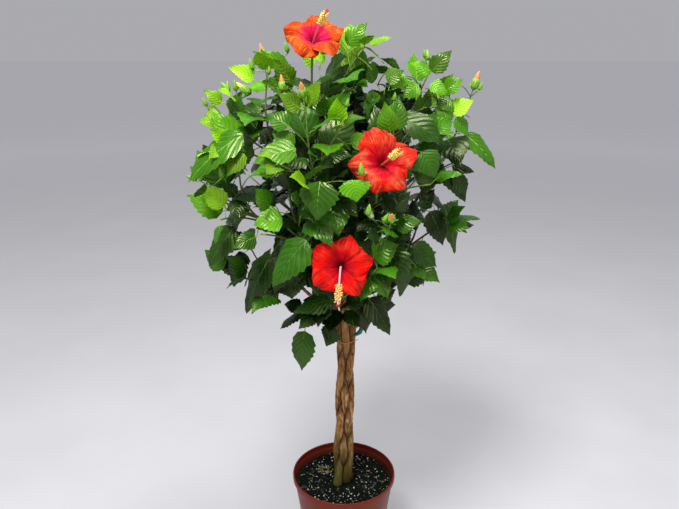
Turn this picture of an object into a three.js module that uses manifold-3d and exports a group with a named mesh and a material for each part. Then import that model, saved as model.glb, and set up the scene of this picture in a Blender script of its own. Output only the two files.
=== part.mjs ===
// A braided hibiscus tree in a nursery pot, in millimetres, +Z up.
// The origin is the centre of the pot's flat underside, and -Y is the side the low blooms face.
import * as THREE from "three";
import { mergeVertices } from "three/addons/utils/BufferGeometryUtils.js";
import Module from "manifold-3d";

const wasm = await Module();
wasm.setup();

const UP = new THREE.Vector3(0, 0, 1);
const GOLDEN_ANGLE = Math.PI * (3 - Math.sqrt(5));
const CLEARANCE = 0.3; // between a piece and what carries it

// ---- Driving dimensions ----

const POT = {
  height: 190,
  rimRadius: 108,
  rimDepth: 11,
  rimLip: 3.6,
  baseRadius: 79,
  wall: 2,
  floor: 3,
  ledgeBelowRim: 12,
  ledgeWidth: 1.6,
  drainHoles: 5,
  drainRadius: 6,
  drainCircle: 56,
  sides: 24,
};
const SOIL_TOP = 166;

const BRAID = {
  foot: SOIL_TOP + CLEARANCE,
  fork: 498,
  pitch: 488, // height in which a stem goes once through the pattern
  bulge: 250, // a height where the four stems stand as a diamond
  halfWidth: [13, 11], // of its pattern, at the foot and at the fork
  halfDepth: [9.8, 8.4],
  leanX: [-2, 4], // where its middle is, at the foot and at the fork
  leanY: [-5, 0],
  footRadius: 7.8,
  forkRadius: 6.4,
  flare: 0.3,
  flareHeight: 22,
  pressGap: 0.7, // half the gap kept where two stems press together
  sides: 7,
  rings: 15,
  leaderRings: 5,
};

// Each stem runs up through the crown to a tip of its own.
const STEMS = {
  stem_front: { strand: 0, tip: [-24, -56, 745] },
  stem_left: { strand: 1, tip: [-76, -12, 775] },
  stem_back: { strand: 2, tip: [-8, 34, 810] },
  stem_right: { strand: 3, tip: [74, 2, 785] },
};
const LEADER_TIP_RADIUS = 3.4;

// A bough leaves its stem at a height and ends where it enters a mass of foliage.
const BOUGHS = {
  bough_left_side: { stem: "stem_left", height: 620, end: [-120, -18, 716] },
  bough_left_low: { stem: "stem_left", height: 556, end: [-80, -36, 620] },
  bough_left_skirt: { stem: "stem_left", height: 512, end: [-34, -32, 556] },
  bough_right_shoulder: { stem: "stem_right", height: 670, end: [128, -6, 772] },
  bough_right_side: { stem: "stem_right", height: 586, end: [96, -16, 664] },
  bough_right_skirt: { stem: "stem_right", height: 520, end: [50, -24, 564] },
  bough_front_low: { stem: "stem_front", height: 572, end: [22, -76, 664] },
  bough_front_left: { stem: "stem_left", height: 596, end: [-50, -82, 690] },
  bough_front_middle: { stem: "stem_front", height: 650, end: [28, -70, 748] },
  bough_back_top: { stem: "stem_back", height: 690, end: [12, 92, 796] },
  bough_back_left: { stem: "stem_back", height: 590, end: [-60, 72, 688] },
  bough_back_right: { stem: "stem_back", height: 640, end: [62, 76, 716] },
  bough_back_low: { stem: "stem_back", height: 534, end: [2, 62, 596] },
};
const BOUGH = { baseRadius: 4.6, tipRadius: 3.0, sides: 5, steps: 3, rise: 0.45 };

// A mass grows from the tip that carries it and keeps to the space round its middle.
// reach is how far its shoots end from that middle, light how young its leaves are, standouts the
// tips of shoots that show above the rest, and stragglers those of ones that hang, with how large
// their leaf is.
const MASSES = {
  crown_top: {
    on: "stem_back", middle: [-30, 2, 985], reach: 88, light: 0.85, seed: 11,
    standouts: [[34, -12, 1050]],
  },
  crown_top_right: {
    on: "stem_right", middle: [106, 0, 956], reach: 92, light: 0.9, seed: 12,
    standouts: [[150, 6, 1010]],
  },
  crown_top_left: {
    on: "stem_left", middle: [-140, -24, 928], reach: 92, light: 0.8, seed: 13,
    standouts: [[-184, -52, 962], [-132, -24, 1008]],
  },
  crown_front: {
    on: "stem_front", middle: [-54, -138, 890], reach: 78, light: 0.85, seed: 14,
    standouts: [[-60, -172, 956]],
  },
  right_shoulder: {
    on: "bough_right_shoulder", middle: [196, -14, 888], reach: 78, light: 0.6, seed: 15,
    standouts: [[222, -6, 966], [248, -4, 884]],
  },
  left_side: {
    on: "bough_left_side", middle: [-208, -36, 796], reach: 70, light: 0.55, seed: 16,
    standouts: [[-240, -60, 822]],
  },
  right_side: { on: "bough_right_side", middle: [138, -44, 726], reach: 62, light: 0.2, seed: 17 },
  left_low: { on: "bough_left_low", middle: [-150, -68, 656], reach: 72, light: 0.2, seed: 29 },
  front_middle: { on: "bough_front_middle", middle: [76, -122, 868], reach: 68, light: 0.55, seed: 19 },
  front_left: { on: "bough_front_left", middle: [-84, -146, 768], reach: 64, light: 0.4, seed: 27 },
  front_low: {
    on: "bough_front_low", middle: [62, -140, 740], reach: 62, light: 0.4, seed: 20,
    standouts: [[40, -182, 806]],
  },
  left_skirt: {
    on: "bough_left_skirt", middle: [-54, -66, 620], reach: 48, light: 0.1, seed: 21,
    stragglers: [{ tip: [-76, -64, 566], size: 1 }, { tip: [-24, -62, 562], size: 0.5 }],
  },
  right_skirt: { on: "bough_right_skirt", middle: [68, -56, 608], reach: 52, light: 0.1, seed: 22 },
  back_top: {
    on: "bough_back_top", middle: [22, 150, 905], reach: 82, light: 0.7, seed: 23,
    standouts: [[10, 150, 1000]],
  },
  back_left: { on: "bough_back_left", middle: [-136, 130, 768], reach: 80, light: 0.35, seed: 24 },
  back_right: { on: "bough_back_right", middle: [126, 136, 778], reach: 80, light: 0.35, seed: 25 },
  back_low: { on: "bough_back_low", middle: [0, 128, 655], reach: 66, light: 0.1, seed: 26 },
};

// The whole crown keeps within an egg round its heart, which leans below it. Shoots that stand out
// and buds go a little past it, and only blooms and stragglers leave it.
const CROWN = {
  heart: [-8, -4, 785],
  halfWidth: 264,
  halfDepth: 266,
  above: { height: 292, roundness: 2.2 },
  below: { height: 258, roundness: 1.7 },
  lean: 0.16, // sideways, for each millimetre below the heart
  outreach: 1.1,
};

const SHOOT = {
  count: 5,
  hubShare: 0.5, // how far towards the middle the mass's own stem runs
  spread: 1.7, // widest angle between a shoot and the mass's axis, in radians
  lightPull: 0.55, // how much the axis bends upwards
  radius: 1.9,
  tipRadius: 1.4,
  stemRadius: 2.7,
  innerLeaves: 2,
  leaves: 5,
  firstLeaf: 0.1,
  stemSteps: 2,
  testedShares: [0.2, 0.3, 0.4, 0.5, 0.6, 0.7, 0.8, 0.9, 1],
  steps: 3,
  sides: 3,
};
const LEAF = {
  longest: 126,
  shortest: 60,
  widthShare: 0.68,
  petioleShare: 0.3,
  rootRadius: 0.65,
  petioleRadius: 1.1,
  petioleLean: 0.95, // angle between shoot and petiole, in radians
  outwards: 0.3, // how much a blade turns away from the trunk
  facing: [0.35, 0.75, 1.0], // how much its face turns from the trunk, to the nearer side, and up
  rollSpan: 1.3,
  keelShare: 0.03, // how deep the midrib is, of the leaf's length
  wideAt: 0.36, // where the blade is widest, along it
  turns: 12, // places round the shoot that are tried before a leaf is left out
  spaceMargin: 2,
  limbMargin: 2.0,
  twigMargin: 1.2,
  leafGap: 6, // between the places by which two blades are compared
  stalkGap: 3,
};
const BUD = { length: 26, radius: 6, stalk: 30, stalkRadius: 1.0, sides: 3, gap: 8 };

// Open blooms: where the throat is, which way it faces, and how far the petals reach.
const BLOOMS = {
  bloom_top: {
    mass: "crown_top", throat: [-51, -46, 1073], facing: [0.1, -0.66, 0.74], column: [0.36, -0.8, 0.5],
    radius: 54, turn: 0.35,
  },
  bloom_middle: {
    mass: "front_middle", throat: [58, -206, 882], facing: [0.1, -0.93, 0.35], column: [0.32, -0.86, 0.42],
    radius: 54, turn: 0.1,
  },
  bloom_low: {
    mass: "front_low", throat: [-8, -222, 722], facing: [-0.04, -0.94, 0.32], column: [-0.06, -0.62, -0.72],
    radius: 52, turn: 0.5,
  },
};
const FLOWER = {
  petals: 5,
  petalWidthShare: 0.68,
  petalThick: 1.4,
  throatRadius: 5,
  throatDepth: 26,
  curlBack: 7,
  overlapTilt: 5,
  columnLength: 62,
  columnRadius: 2.2,
  antherRadius: 6.5,
  calyxRadius: 8,
  calyxLength: 20,
  stalkRadius: 1.9,
  stalkBack: 26,
  stalkDrop: 44,
  spaceMargin: 6,
};

const COLOURS = {
  pot: { color: 0xa8432c, roughness: 0.45 },
  soil: { color: 0x2a231c, roughness: 0.95 },
  bark: { color: 0x9a7148, roughness: 0.85 },
  shadeLeaf: { color: 0x2c5a22, roughness: 0.5 },
  leaf: { color: 0x3f7f26, roughness: 0.45 },
  youngLeaf: { color: 0x79b52e, roughness: 0.45 },
  petal: { color: 0xf0321c, roughness: 0.6 },
};

// ---- Seeded random numbers and directions ----

function seededRandom(seed) {
  let state = seed >>> 0;
  return () => {
    state = (state + 0x6d2b79f5) >>> 0;
    let mixed = Math.imul(state ^ (state >>> 15), state | 1);
    mixed ^= mixed + Math.imul(mixed ^ (mixed >>> 7), mixed | 61);
    return ((mixed ^ (mixed >>> 14)) >>> 0) / 4294967296;
  };
}

const point = ([x, y, z]) => new THREE.Vector3(x, y, z);
const along = (start, direction, length) => start.clone().addScaledVector(direction, length);
const mix = (low, high, share) => low + (high - low) * share;

// A place on the straight stretches that a limb of so many steps has along its curve.
function onLimb(curve, share, steps) {
  const step = Math.min(Math.floor(share * steps), steps - 1);
  return curve.getPoint(step / steps).lerp(curve.getPoint((step + 1) / steps), share * steps - step);
}

// A unit vector square to the axis, and level where the axis isn't upright.
function sideOf(axis) {
  const side = new THREE.Vector3().crossVectors(axis, UP);
  return side.lengthSq() < 1e-6 ? new THREE.Vector3(1, 0, 0) : side.normalize();
}

// The axis tipped over by an angle, towards a turn round it.
function tipped(axis, angle, turn) {
  const side = sideOf(axis);
  const lift = new THREE.Vector3().crossVectors(side, axis);
  return axis
    .clone()
    .multiplyScalar(Math.cos(angle))
    .addScaledVector(side, Math.cos(turn) * Math.sin(angle))
    .addScaledVector(lift, Math.sin(turn) * Math.sin(angle));
}

// ---- Solids ----

function solidOf(geometry) {
  const bare = geometry.index ? geometry.clone() : geometry;
  bare.deleteAttribute("normal");
  bare.deleteAttribute("uv");
  const merged = mergeVertices(bare, 1e-4);
  return new wasm.Manifold(
    new wasm.Mesh({
      numProp: 3,
      vertProperties: new Float32Array(merged.attributes.position.array),
      triVerts: new Uint32Array(merged.index.array),
    }),
  );
}

// The largest piece of a solid, with loose scraps dropped and sealed hollows filled.
function mainPiece(solid) {
  const pieces = solid.decompose();
  pieces.sort((a, b) => b.volume() - a.volume());
  return pieces[0];
}

function fused(geometries, tolerance = 0.03) {
  return mainPiece(wasm.Manifold.union(geometries.map(solidOf)).simplify(tolerance));
}

function meshOf(name, solid, look) {
  const { vertProperties, triVerts } = solid.getMesh();
  const geometry = new THREE.BufferGeometry()
    .setAttribute("position", new THREE.BufferAttribute(vertProperties, 3))
    .setIndex(new THREE.BufferAttribute(triVerts, 1));
  geometry.computeVertexNormals();
  const mesh = new THREE.Mesh(geometry, new THREE.MeshStandardMaterial({ ...look, metalness: 0 }));
  mesh.name = name;
  return mesh;
}

// A cylinder's or cone's rings moved to their places: place(share, x, z) gives where a point of
// the unit ring goes, with share 0 at its foot and 1 at its tip.
function placeRings(geometry, place) {
  const position = geometry.attributes.position;
  for (let i = 0; i < position.count; i++) {
    const share = position.getY(i) + 0.5;
    const width = Math.hypot(position.getX(i), position.getZ(i)) || 1;
    const onAxis = width === 1 && position.getX(i) === 0 && position.getZ(i) === 0;
    const x = onAxis ? 0 : position.getX(i) / width;
    const z = onAxis ? 0 : position.getZ(i) / width;
    const placed = place(share, x, z);
    position.setXYZ(i, placed.x, placed.y, placed.z);
  }
  return geometry;
}

// A round limb that tapers along a curve.
function limb(curve, baseRadius, tipRadius, sides, steps) {
  const chord = curve.getPoint(1).sub(curve.getPoint(0)).normalize();
  const reference = sideOf(chord);
  return placeRings(new THREE.CylinderGeometry(1, 1, 1, sides, steps), (share, x, z) => {
    const tangent = curve.getTangent(share);
    const lift = new THREE.Vector3().crossVectors(reference, tangent).normalize();
    const side = new THREE.Vector3().crossVectors(tangent, lift);
    const radius = mix(baseRadius, tipRadius, share);
    return curve.getPoint(share).addScaledVector(side, x * radius).addScaledVector(lift, z * radius);
  });
}

// ---- Pot and soil ----

const wallRadius = (height) =>
  mix(POT.baseRadius, POT.rimRadius - POT.rimLip, height / (POT.height - POT.rimDepth));

function lathe(profile) {
  const points = profile.map(([radius, height]) => new THREE.Vector2(radius, height));
  return new THREE.LatheGeometry(points, POT.sides).rotateX(Math.PI / 2);
}

function potSolid() {
  const { height, rimRadius, rimDepth, rimLip, wall, floor, ledgeBelowRim, ledgeWidth } = POT;
  const underRim = height - rimDepth;
  const ledge = height - ledgeBelowRim;
  const inner = (level) => wallRadius(Math.min(level, underRim)) - wall;
  const shell = lathe([
    [0, 0],
    [POT.baseRadius - 1.5, 0],
    [POT.baseRadius, 1.5],
    [wallRadius(underRim), underRim],
    [rimRadius - 0.6, underRim],
    [rimRadius, underRim + 1.2],
    [rimRadius, height - 1.4],
    [rimRadius - 1.4, height],
    [rimRadius - rimLip + 0.4, height],
    [inner(underRim) + ledgeWidth, ledge],
    [inner(ledge - 1.5), ledge - 1.5],
    [inner(floor), floor],
    [0, floor],
  ]);
  const drains = Array.from({ length: POT.drainHoles }, (_, i) => {
    const turn = (2 * Math.PI * (i + 0.5)) / POT.drainHoles;
    return new THREE.CylinderGeometry(POT.drainRadius, POT.drainRadius, 4 * floor, 6)
      .rotateX(Math.PI / 2)
      .translate(POT.drainCircle * Math.cos(turn), POT.drainCircle * Math.sin(turn), 0);
  });
  return drains.reduce((pot, drain) => pot.subtract(solidOf(drain)), solidOf(shell));
}

function soilSolid() {
  const foot = POT.floor + CLEARANCE;
  const radiusAt = (height) => wallRadius(height) - POT.wall - CLEARANCE - 0.2;
  return solidOf(lathe([[0, foot], [radiusAt(foot), foot], [radiusAt(SOIL_TOP), SOIL_TOP], [0, SOIL_TOP]]));
}

// ---- Braided stems ----

// Middle of a strand of the braid: it crosses from side to side once while it goes three times
// between front and back.
function strandMiddle(strand, height) {
  const rise = (height - BRAID.foot) / (BRAID.fork - BRAID.foot);
  const angle = (2 * Math.PI * (height - BRAID.bulge)) / BRAID.pitch + (strand * Math.PI) / 2;
  return new THREE.Vector3(
    mix(...BRAID.leanX, rise) + mix(...BRAID.halfWidth, rise) * Math.sin(angle),
    mix(...BRAID.leanY, rise) + mix(...BRAID.halfDepth, rise) * Math.cos(3 * angle),
    height,
  );
}

// Middle of a stem at a height: in the braid up to the fork, then out to its own tip.
function stemMiddle(stem, height) {
  if (height <= BRAID.fork) return strandMiddle(stem.strand, height);
  const foot = strandMiddle(stem.strand, BRAID.fork);
  const share = (height - BRAID.fork) / (stem.tip[2] - BRAID.fork);
  const bend = Math.pow(share, 1.25);
  return new THREE.Vector3(mix(foot.x, stem.tip[0], bend), mix(foot.y, stem.tip[1], bend), height);
}

function stemRadius(stem, height) {
  if (height > BRAID.fork) {
    const share = (height - BRAID.fork) / (stem.tip[2] - BRAID.fork);
    return mix(BRAID.forkRadius, LEADER_TIP_RADIUS, share);
  }
  const share = (height - BRAID.foot) / (BRAID.fork - BRAID.foot);
  const flare = 1 + BRAID.flare * Math.exp(-(height - BRAID.foot) / BRAID.flareHeight);
  return mix(BRAID.footRadius, BRAID.forkRadius, share) * flare;
}

// Heights of a stem's rings, close together in the braid and wider apart above it.
function ringHeights(stem) {
  const braid = Array.from({ length: BRAID.rings }, (_, i) => mix(BRAID.foot, BRAID.fork, i / BRAID.rings));
  const leader = Array.from({ length: BRAID.leaderRings + 1 }, (_, i) =>
    mix(BRAID.fork, stem.tip[2], i / BRAID.leaderRings),
  );
  return [...braid, ...leader];
}

// A stem's level sections are round, and flat where they press on another stem.
function stemGeometry(name, swell = 0) {
  const stem = STEMS[name];
  const heights = ringHeights(stem);
  const others = Object.keys(STEMS).filter((other) => other !== name);
  const geometry = new THREE.CylinderGeometry(1, 1, 1, BRAID.sides, heights.length - 1);
  return placeRings(geometry, (share, x, z) => {
    const height = heights[Math.round(share * (heights.length - 1))];
    const middle = stemMiddle(stem, height);
    let reach = stemRadius(stem, height) + swell;
    for (const other of others) {
      if (height > STEMS[other].tip[2]) continue;
      const apart = stemMiddle(STEMS[other], height).sub(middle);
      const distance = apart.length();
      const facing = (x * apart.x - z * apart.y) / distance;
      if (facing > 0.05) reach = Math.min(reach, (distance / 2 - BRAID.pressGap + swell) / facing);
    }
    return new THREE.Vector3(middle.x + x * reach, middle.y - z * reach, height);
  });
}

// Stems that cross between two rings are cut back from those before them.
function stemSolids() {
  const names = Object.keys(STEMS);
  return names.map((name, i) => {
    const whole = solidOf(stemGeometry(name));
    const others = names.slice(0, i).map((other) => solidOf(stemGeometry(other, CLEARANCE)));
    return [name, mainPiece(others.reduce((stem, other) => stem.subtract(other), whole).simplify(0.02))];
  });
}

// ---- Boughs ----

function boughCurve({ stem, height, end }) {
  const start = stemMiddle(STEMS[stem], height);
  const finish = point(end);
  const knee = start.clone().lerp(finish, 0.5);
  knee.z = mix(start.z, finish.z, BOUGH.rise);
  const out = finish.clone().sub(start).setZ(0);
  knee.addScaledVector(out, 0.1);
  return new THREE.QuadraticBezierCurve3(start, knee, finish);
}

function boughSolid(bough) {
  const curve = boughCurve(bough);
  const whole = solidOf(limb(curve, BOUGH.baseRadius, BOUGH.tipRadius, BOUGH.sides, BOUGH.steps));
  return mainPiece(whole.subtract(solidOf(stemGeometry(bough.stem, CLEARANCE + 0.15))));
}

// ---- Limbs that the foliage keeps clear of ----

const stretchesOf = (points) => points.slice(1).map((end, i) => new THREE.Line3(points[i], end));

// Short straight stretches, each with its radius, of every stem and bough.
function limbStretches() {
  const stretches = [];
  const addPath = (points, radii) =>
    stretchesOf(points).forEach((line, i) => stretches.push({ line, radius: radii[i] }));
  for (const stem of Object.values(STEMS)) {
    const heights = ringHeights(stem);
    addPath(heights.map((h) => stemMiddle(stem, h)), heights.map((h) => stemRadius(stem, h)));
  }
  for (const bough of Object.values(BOUGHS)) {
    const curve = boughCurve(bough);
    const shares = Array.from({ length: BOUGH.steps + 1 }, (_, i) => i / BOUGH.steps);
    const radii = shares.map((share) => mix(BOUGH.baseRadius, BOUGH.tipRadius, share));
    addPath(shares.map((share) => curve.getPoint(share)), radii);
  }
  return stretches;
}

const nearest = new THREE.Vector3();
const distanceTo = (line, place) => line.closestPointToPoint(place, true, nearest).distanceTo(place);

// ---- Blooms ----

function bloomFrame(bloom) {
  const axis = point(bloom.facing).normalize();
  const side = sideOf(axis);
  return { throat: point(bloom.throat), axis, side, lift: new THREE.Vector3().crossVectors(side, axis) };
}

// How far in front of the throat's rim a petal lies, at a share of the way out from the axis.
const petalHeight = (share) =>
  -FLOWER.throatDepth * Math.pow(1 - share, 3) - FLOWER.curlBack * Math.pow(share, 3);

const petalHalfWidth = (share, radius) =>
  radius * FLOWER.petalWidthShare * Math.sqrt(Math.sin(Math.PI * Math.min(0.07 + share * 0.86, 1)));

function petalGeometry(bloom, index) {
  const { throat, axis, side, lift } = bloomFrame(bloom);
  const turn = bloom.turn + (2 * Math.PI * index) / FLOWER.petals;
  const out = side.clone().multiplyScalar(Math.cos(turn)).addScaledVector(lift, Math.sin(turn));
  const across = new THREE.Vector3().crossVectors(out, axis);
  const geometry = new THREE.BoxGeometry(2, 1, 1, 3, 2, 1);
  const position = geometry.attributes.position;
  for (let i = 0; i < position.count; i++) {
    const wide = position.getX(i);
    const share = position.getY(i) + 0.5;
    const rounded = share * (1 - 0.12 * wide * wide * share);
    const radial = mix(FLOWER.throatRadius, bloom.radius, rounded);
    const tilt = wide * FLOWER.overlapTilt * share;
    const level = petalHeight(rounded) + tilt + position.getZ(i) * FLOWER.petalThick;
    const placed = along(throat, out, radial)
      .addScaledVector(across, wide * petalHalfWidth(share, bloom.radius) * (0.15 + 0.85 * share))
      .addScaledVector(axis, level);
    position.setXYZ(i, placed.x, placed.y, placed.z);
  }
  return geometry;
}

// Where a bloom's stalk begins, and the way it runs there.
function stalkCurve(bloom) {
  const { throat, axis } = bloomFrame(bloom);
  const calyx = along(throat, axis, -FLOWER.throatDepth - FLOWER.calyxLength + 4);
  const knee = along(calyx, axis, -FLOWER.stalkBack);
  const foot = along(knee, UP, -FLOWER.stalkDrop);
  return new THREE.QuadraticBezierCurve3(foot, knee, calyx);
}

function columnCurve(bloom) {
  const { throat, axis } = bloomFrame(bloom);
  const start = along(throat, axis, -FLOWER.throatDepth - 2);
  const knee = along(start, axis, FLOWER.throatDepth);
  const tip = along(knee, point(bloom.column).normalize(), FLOWER.columnLength);
  return new THREE.QuadraticBezierCurve3(start, knee, tip);
}

// A limb whose radius follows a list of [share, radius] steps.
function steppedLimb(curve, steps, sides) {
  const geometry = new THREE.CylinderGeometry(1, 1, 1, sides, steps.length - 1);
  const reference = sideOf(curve.getPoint(1).sub(curve.getPoint(0)).normalize());
  return placeRings(geometry, (share, x, z) => {
    const [place, radius] = steps[Math.round(share * (steps.length - 1))];
    const tangent = curve.getTangent(place);
    const lift = new THREE.Vector3().crossVectors(reference, tangent).normalize();
    const side = new THREE.Vector3().crossVectors(tangent, lift);
    return curve.getPoint(place).addScaledVector(side, x * radius).addScaledVector(lift, z * radius);
  });
}

function bloomSolid(bloom) {
  const { throat, axis } = bloomFrame(bloom);
  const petals = Array.from({ length: FLOWER.petals }, (_, i) => petalGeometry(bloom, i));
  const { columnRadius, antherRadius, calyxRadius, throatDepth, calyxLength } = FLOWER;
  const column = steppedLimb(
    columnCurve(bloom),
    [[0, columnRadius], [0.62, columnRadius], [0.8, antherRadius], [1, columnRadius]],
    5,
  );
  const calyxFoot = along(throat, axis, -throatDepth - calyxLength + 3);
  const calyxMouth = along(throat, axis, -throatDepth + 6);
  const calyx = steppedLimb(
    new THREE.LineCurve3(calyxFoot, calyxMouth),
    [[0, FLOWER.stalkRadius + 1], [0.3, calyxRadius * 0.8], [1, calyxRadius]],
    6,
  );
  const stalk = limb(stalkCurve(bloom), FLOWER.stalkRadius, FLOWER.stalkRadius + 0.4, 4, 2);
  return fused([...petals, column, calyx, stalk], 0.05);
}

// Whether a place is within a bloom's petals, column or stalk, with room to spare.
function touchesBloom(place, { bloom, axes }) {
  const { throat, axis } = bloomFrame(bloom);
  const from = place.clone().sub(throat);
  const level = from.dot(axis);
  const radial = Math.sqrt(Math.max(from.lengthSq() - level * level, 0));
  const margin = FLOWER.spaceMargin;
  const share = (radial - FLOWER.throatRadius) / (bloom.radius - FLOWER.throatRadius);
  if (share < 1.08) {
    const petal = petalHeight(THREE.MathUtils.clamp(share, 0, 1));
    const inFront = FLOWER.columnLength * 0.5 * (1 - THREE.MathUtils.clamp(share, 0, 1));
    const room = FLOWER.overlapTilt + margin;
    if (level > petal - room && level < petal + room + inFront) return true;
  }
  return axes.some((line) => distanceTo(line, place) < FLOWER.antherRadius + margin * 0.5);
}

// ---- Masses of foliage ----

// Where a mass begins, the way its carrier points there, and the carrier's radius.
function carrierEnd(name) {
  if (STEMS[name]) {
    const stem = STEMS[name];
    return { place: stemMiddle(stem, stem.tip[2]), direction: UP, radius: LEADER_TIP_RADIUS };
  }
  const curve = boughCurve(BOUGHS[name]);
  return { place: curve.getPoint(1), direction: curve.getTangent(1), radius: BOUGH.tipRadius };
}

// A mass's own stem, from its carrier's tip to the hub where its last shoots leave it, and its
// spine, which goes on from there to the mass's middle.
function layOutMass(name) {
  const { place, direction, radius } = carrierEnd(MASSES[name].on);
  const middle = point(MASSES[name].middle);
  const start = along(place, direction, CLEARANCE);
  const hub = start.clone().lerp(middle, SHOOT.hubShare);
  const knee = along(start, direction, hub.distanceTo(start) * 0.5);
  const stem = new THREE.QuadraticBezierCurve3(start, knee, hub);
  return { radius, middle, hub, stem, spine: stretchesOf([start, stem.getPoint(0.5), hub, middle]) };
}

const fromSpine = ({ spine }, place) => Math.min(...spine.map((line) => distanceTo(line, place)));

// The space of a mass is all that is nearer to its spine than to any other's.
function insideSpace(place, name, layouts) {
  const limit = fromSpine(layouts[name], place) + LEAF.spaceMargin;
  return Object.keys(layouts).every((other) => other === name || fromSpine(layouts[other], place) > limit);
}

// Blade of a leaf: its midrib is a curve from neck to tip, and it lies square to the normal.
function bladeFrame(leaf, share) {
  const tangent = leaf.midrib.getTangent(share);
  const lift = leaf.normal.clone().addScaledVector(tangent, -leaf.normal.dot(tangent)).normalize();
  const side = new THREE.Vector3().crossVectors(lift, tangent);
  return { middle: leaf.midrib.getPoint(share), tangent, lift, side };
}

const bladeHalfWidth = (share) =>
  share < LEAF.wideAt
    ? Math.sqrt(Math.max(0, 1 - (1 - share / LEAF.wideAt) ** 2))
    : Math.cos((Math.PI / 2) * ((share - LEAF.wideAt) / (1 - LEAF.wideAt)) ** 1.25);

// Places all over a blade and under its keel, close enough that nothing passes between them.
function bladePlaces(leaf) {
  const places = [];
  for (let i = 0; i <= 10; i++) {
    const { middle, side, lift } = bladeFrame(leaf, i / 10);
    const half = (bladeHalfWidth(i / 10) * leaf.width) / 2;
    for (let j = -3; j <= 3; j++) places.push(along(middle, side, (half * j) / 3));
    if (i < 8) places.push(along(middle, lift, -leaf.length * LEAF.keelShare));
  }
  return places;
}

const stalkPlaces = ({ root, neck }) =>
  [0.25, 0.4, 0.55, 0.7, 0.85, 1].map((share) => root.clone().lerp(neck, share));

// One leaf, held out from its shoot by its stalk, with its blade hanging by its age.
function shapeLeaf({ root, axis, lean, turn, length, droop, roll, sag }) {
  const stalkWay = tipped(axis, lean, turn);
  const neck = along(root, stalkWay, length * LEAF.petioleShare);
  const fromTrunk = new THREE.Vector3(neck.x, neck.y, 0).normalize();
  const bladeWay = stalkWay.clone().addScaledVector(fromTrunk, LEAF.outwards).addScaledVector(UP, -droop);
  bladeWay.normalize();
  const tipWay = bladeWay.clone().addScaledVector(UP, -sag).normalize();
  const bend = along(neck, bladeWay, length * 0.5);
  const tip = along(bend, tipWay, length * 0.5);
  const chord = tip.clone().sub(neck).normalize();
  const [fromTrunkPull, sidePull, upPull] = LEAF.facing;
  const normal = new THREE.Vector3(0, neck.y < 20 ? -sidePull : sidePull, upPull);
  normal.addScaledVector(fromTrunk, fromTrunkPull).normalize();
  normal.addScaledVector(chord, -normal.dot(chord)).normalize();
  normal.applyAxisAngle(chord, roll);
  const midrib = new THREE.QuadraticBezierCurve3(neck, bend, tip);
  const leaf = { root, neck, normal, length, width: length * LEAF.widthShare, midrib };
  leaf.middle = midrib.getPoint(0.5);
  leaf.places = bladePlaces(leaf);
  leaf.stalk = stalkPlaces(leaf);
  return leaf;
}

const nearAny = (places, others, gap) =>
  places.some((place) => others.some((other) => place.distanceToSquared(other) < gap * gap));

// Whether two leaves come too close anywhere, blade to blade or stalk to blade.
function crowds(leaf, other) {
  if (leaf.middle.distanceTo(other.middle) > 0.9 * (leaf.length + other.length)) return false;
  return (
    nearAny(leaf.places, other.places, LEAF.leafGap) ||
    nearAny(leaf.stalk, other.places, LEAF.stalkGap) ||
    nearAny(leaf.places, other.stalk, LEAF.stalkGap) ||
    nearAny(leaf.stalk, other.stalk, LEAF.stalkGap)
  );
}

function growLeaves({ curve, plan }, random, mass, isFree, grown) {
  const leaves = plan.leaves ?? SHOOT.leaves;
  const startTurn = random() * 2 * Math.PI;
  for (let i = 0; i < leaves; i++) {
    const age = leaves > 1 ? i / (leaves - 1) : 0; // 0 for the oldest leaf, 1 for the one at the tip
    const share = plan.hangs ? 0.98 : mix(SHOOT.firstLeaf, 0.98, Math.pow(age, 0.85));
    const [sizeDraw, droopDraw, rollDraw, sagDraw, turnDraw] = Array.from({ length: 5 }, random);
    const young = Math.pow(age, 1.6);
    const agedSize = mix(LEAF.longest, LEAF.shortest, young);
    const fullSize = plan.inner || plan.hangs ? 0.76 * LEAF.longest * (plan.size ?? 1) : agedSize;
    const size = fullSize * (0.84 + 0.32 * sizeDraw) * (1 - 0.28 * mass.light);
    const agedDroop = mix(1.25, 0.3, age) - 0.65 * mass.light;
    const droop = (plan.hangs ? 2 : agedDroop) + 0.4 * (droopDraw - 0.5);
    for (let attempt = 0; attempt < LEAF.turns; attempt++) {
      const turn = startTurn + i * GOLDEN_ANGLE + 0.5 * turnDraw + attempt * 1.07;
      const length = size * (1 - 0.035 * attempt);
      const roll = LEAF.rollSpan * (rollDraw - 0.5) * (attempt % 2 ? -1 : 1);
      const sag = 0.7 * sagDraw * (1 - 0.6 * age);
      const axis = curve.getTangent(share);
      const root = onLimb(curve, share, plan.inner ? SHOOT.stemSteps : SHOOT.steps);
      const lean = plan.hangs ? 0.2 : LEAF.petioleLean;
      const leaf = shapeLeaf({ root, axis, lean, turn, length, droop, roll, sag });
      const clearOfTwigs = (place) =>
        grown.stretches.every(({ line, radius }) => distanceTo(line, place) > radius + LEAF.twigMargin);
      if (!leaf.places.every(isFree) || !leaf.stalk.every(isFree)) continue;
      if (!leaf.places.every(clearOfTwigs) || grown.leaves.some((other) => crowds(leaf, other))) continue;
      grown.leaves.push(leaf);
      break;
    }
  }
}

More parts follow.
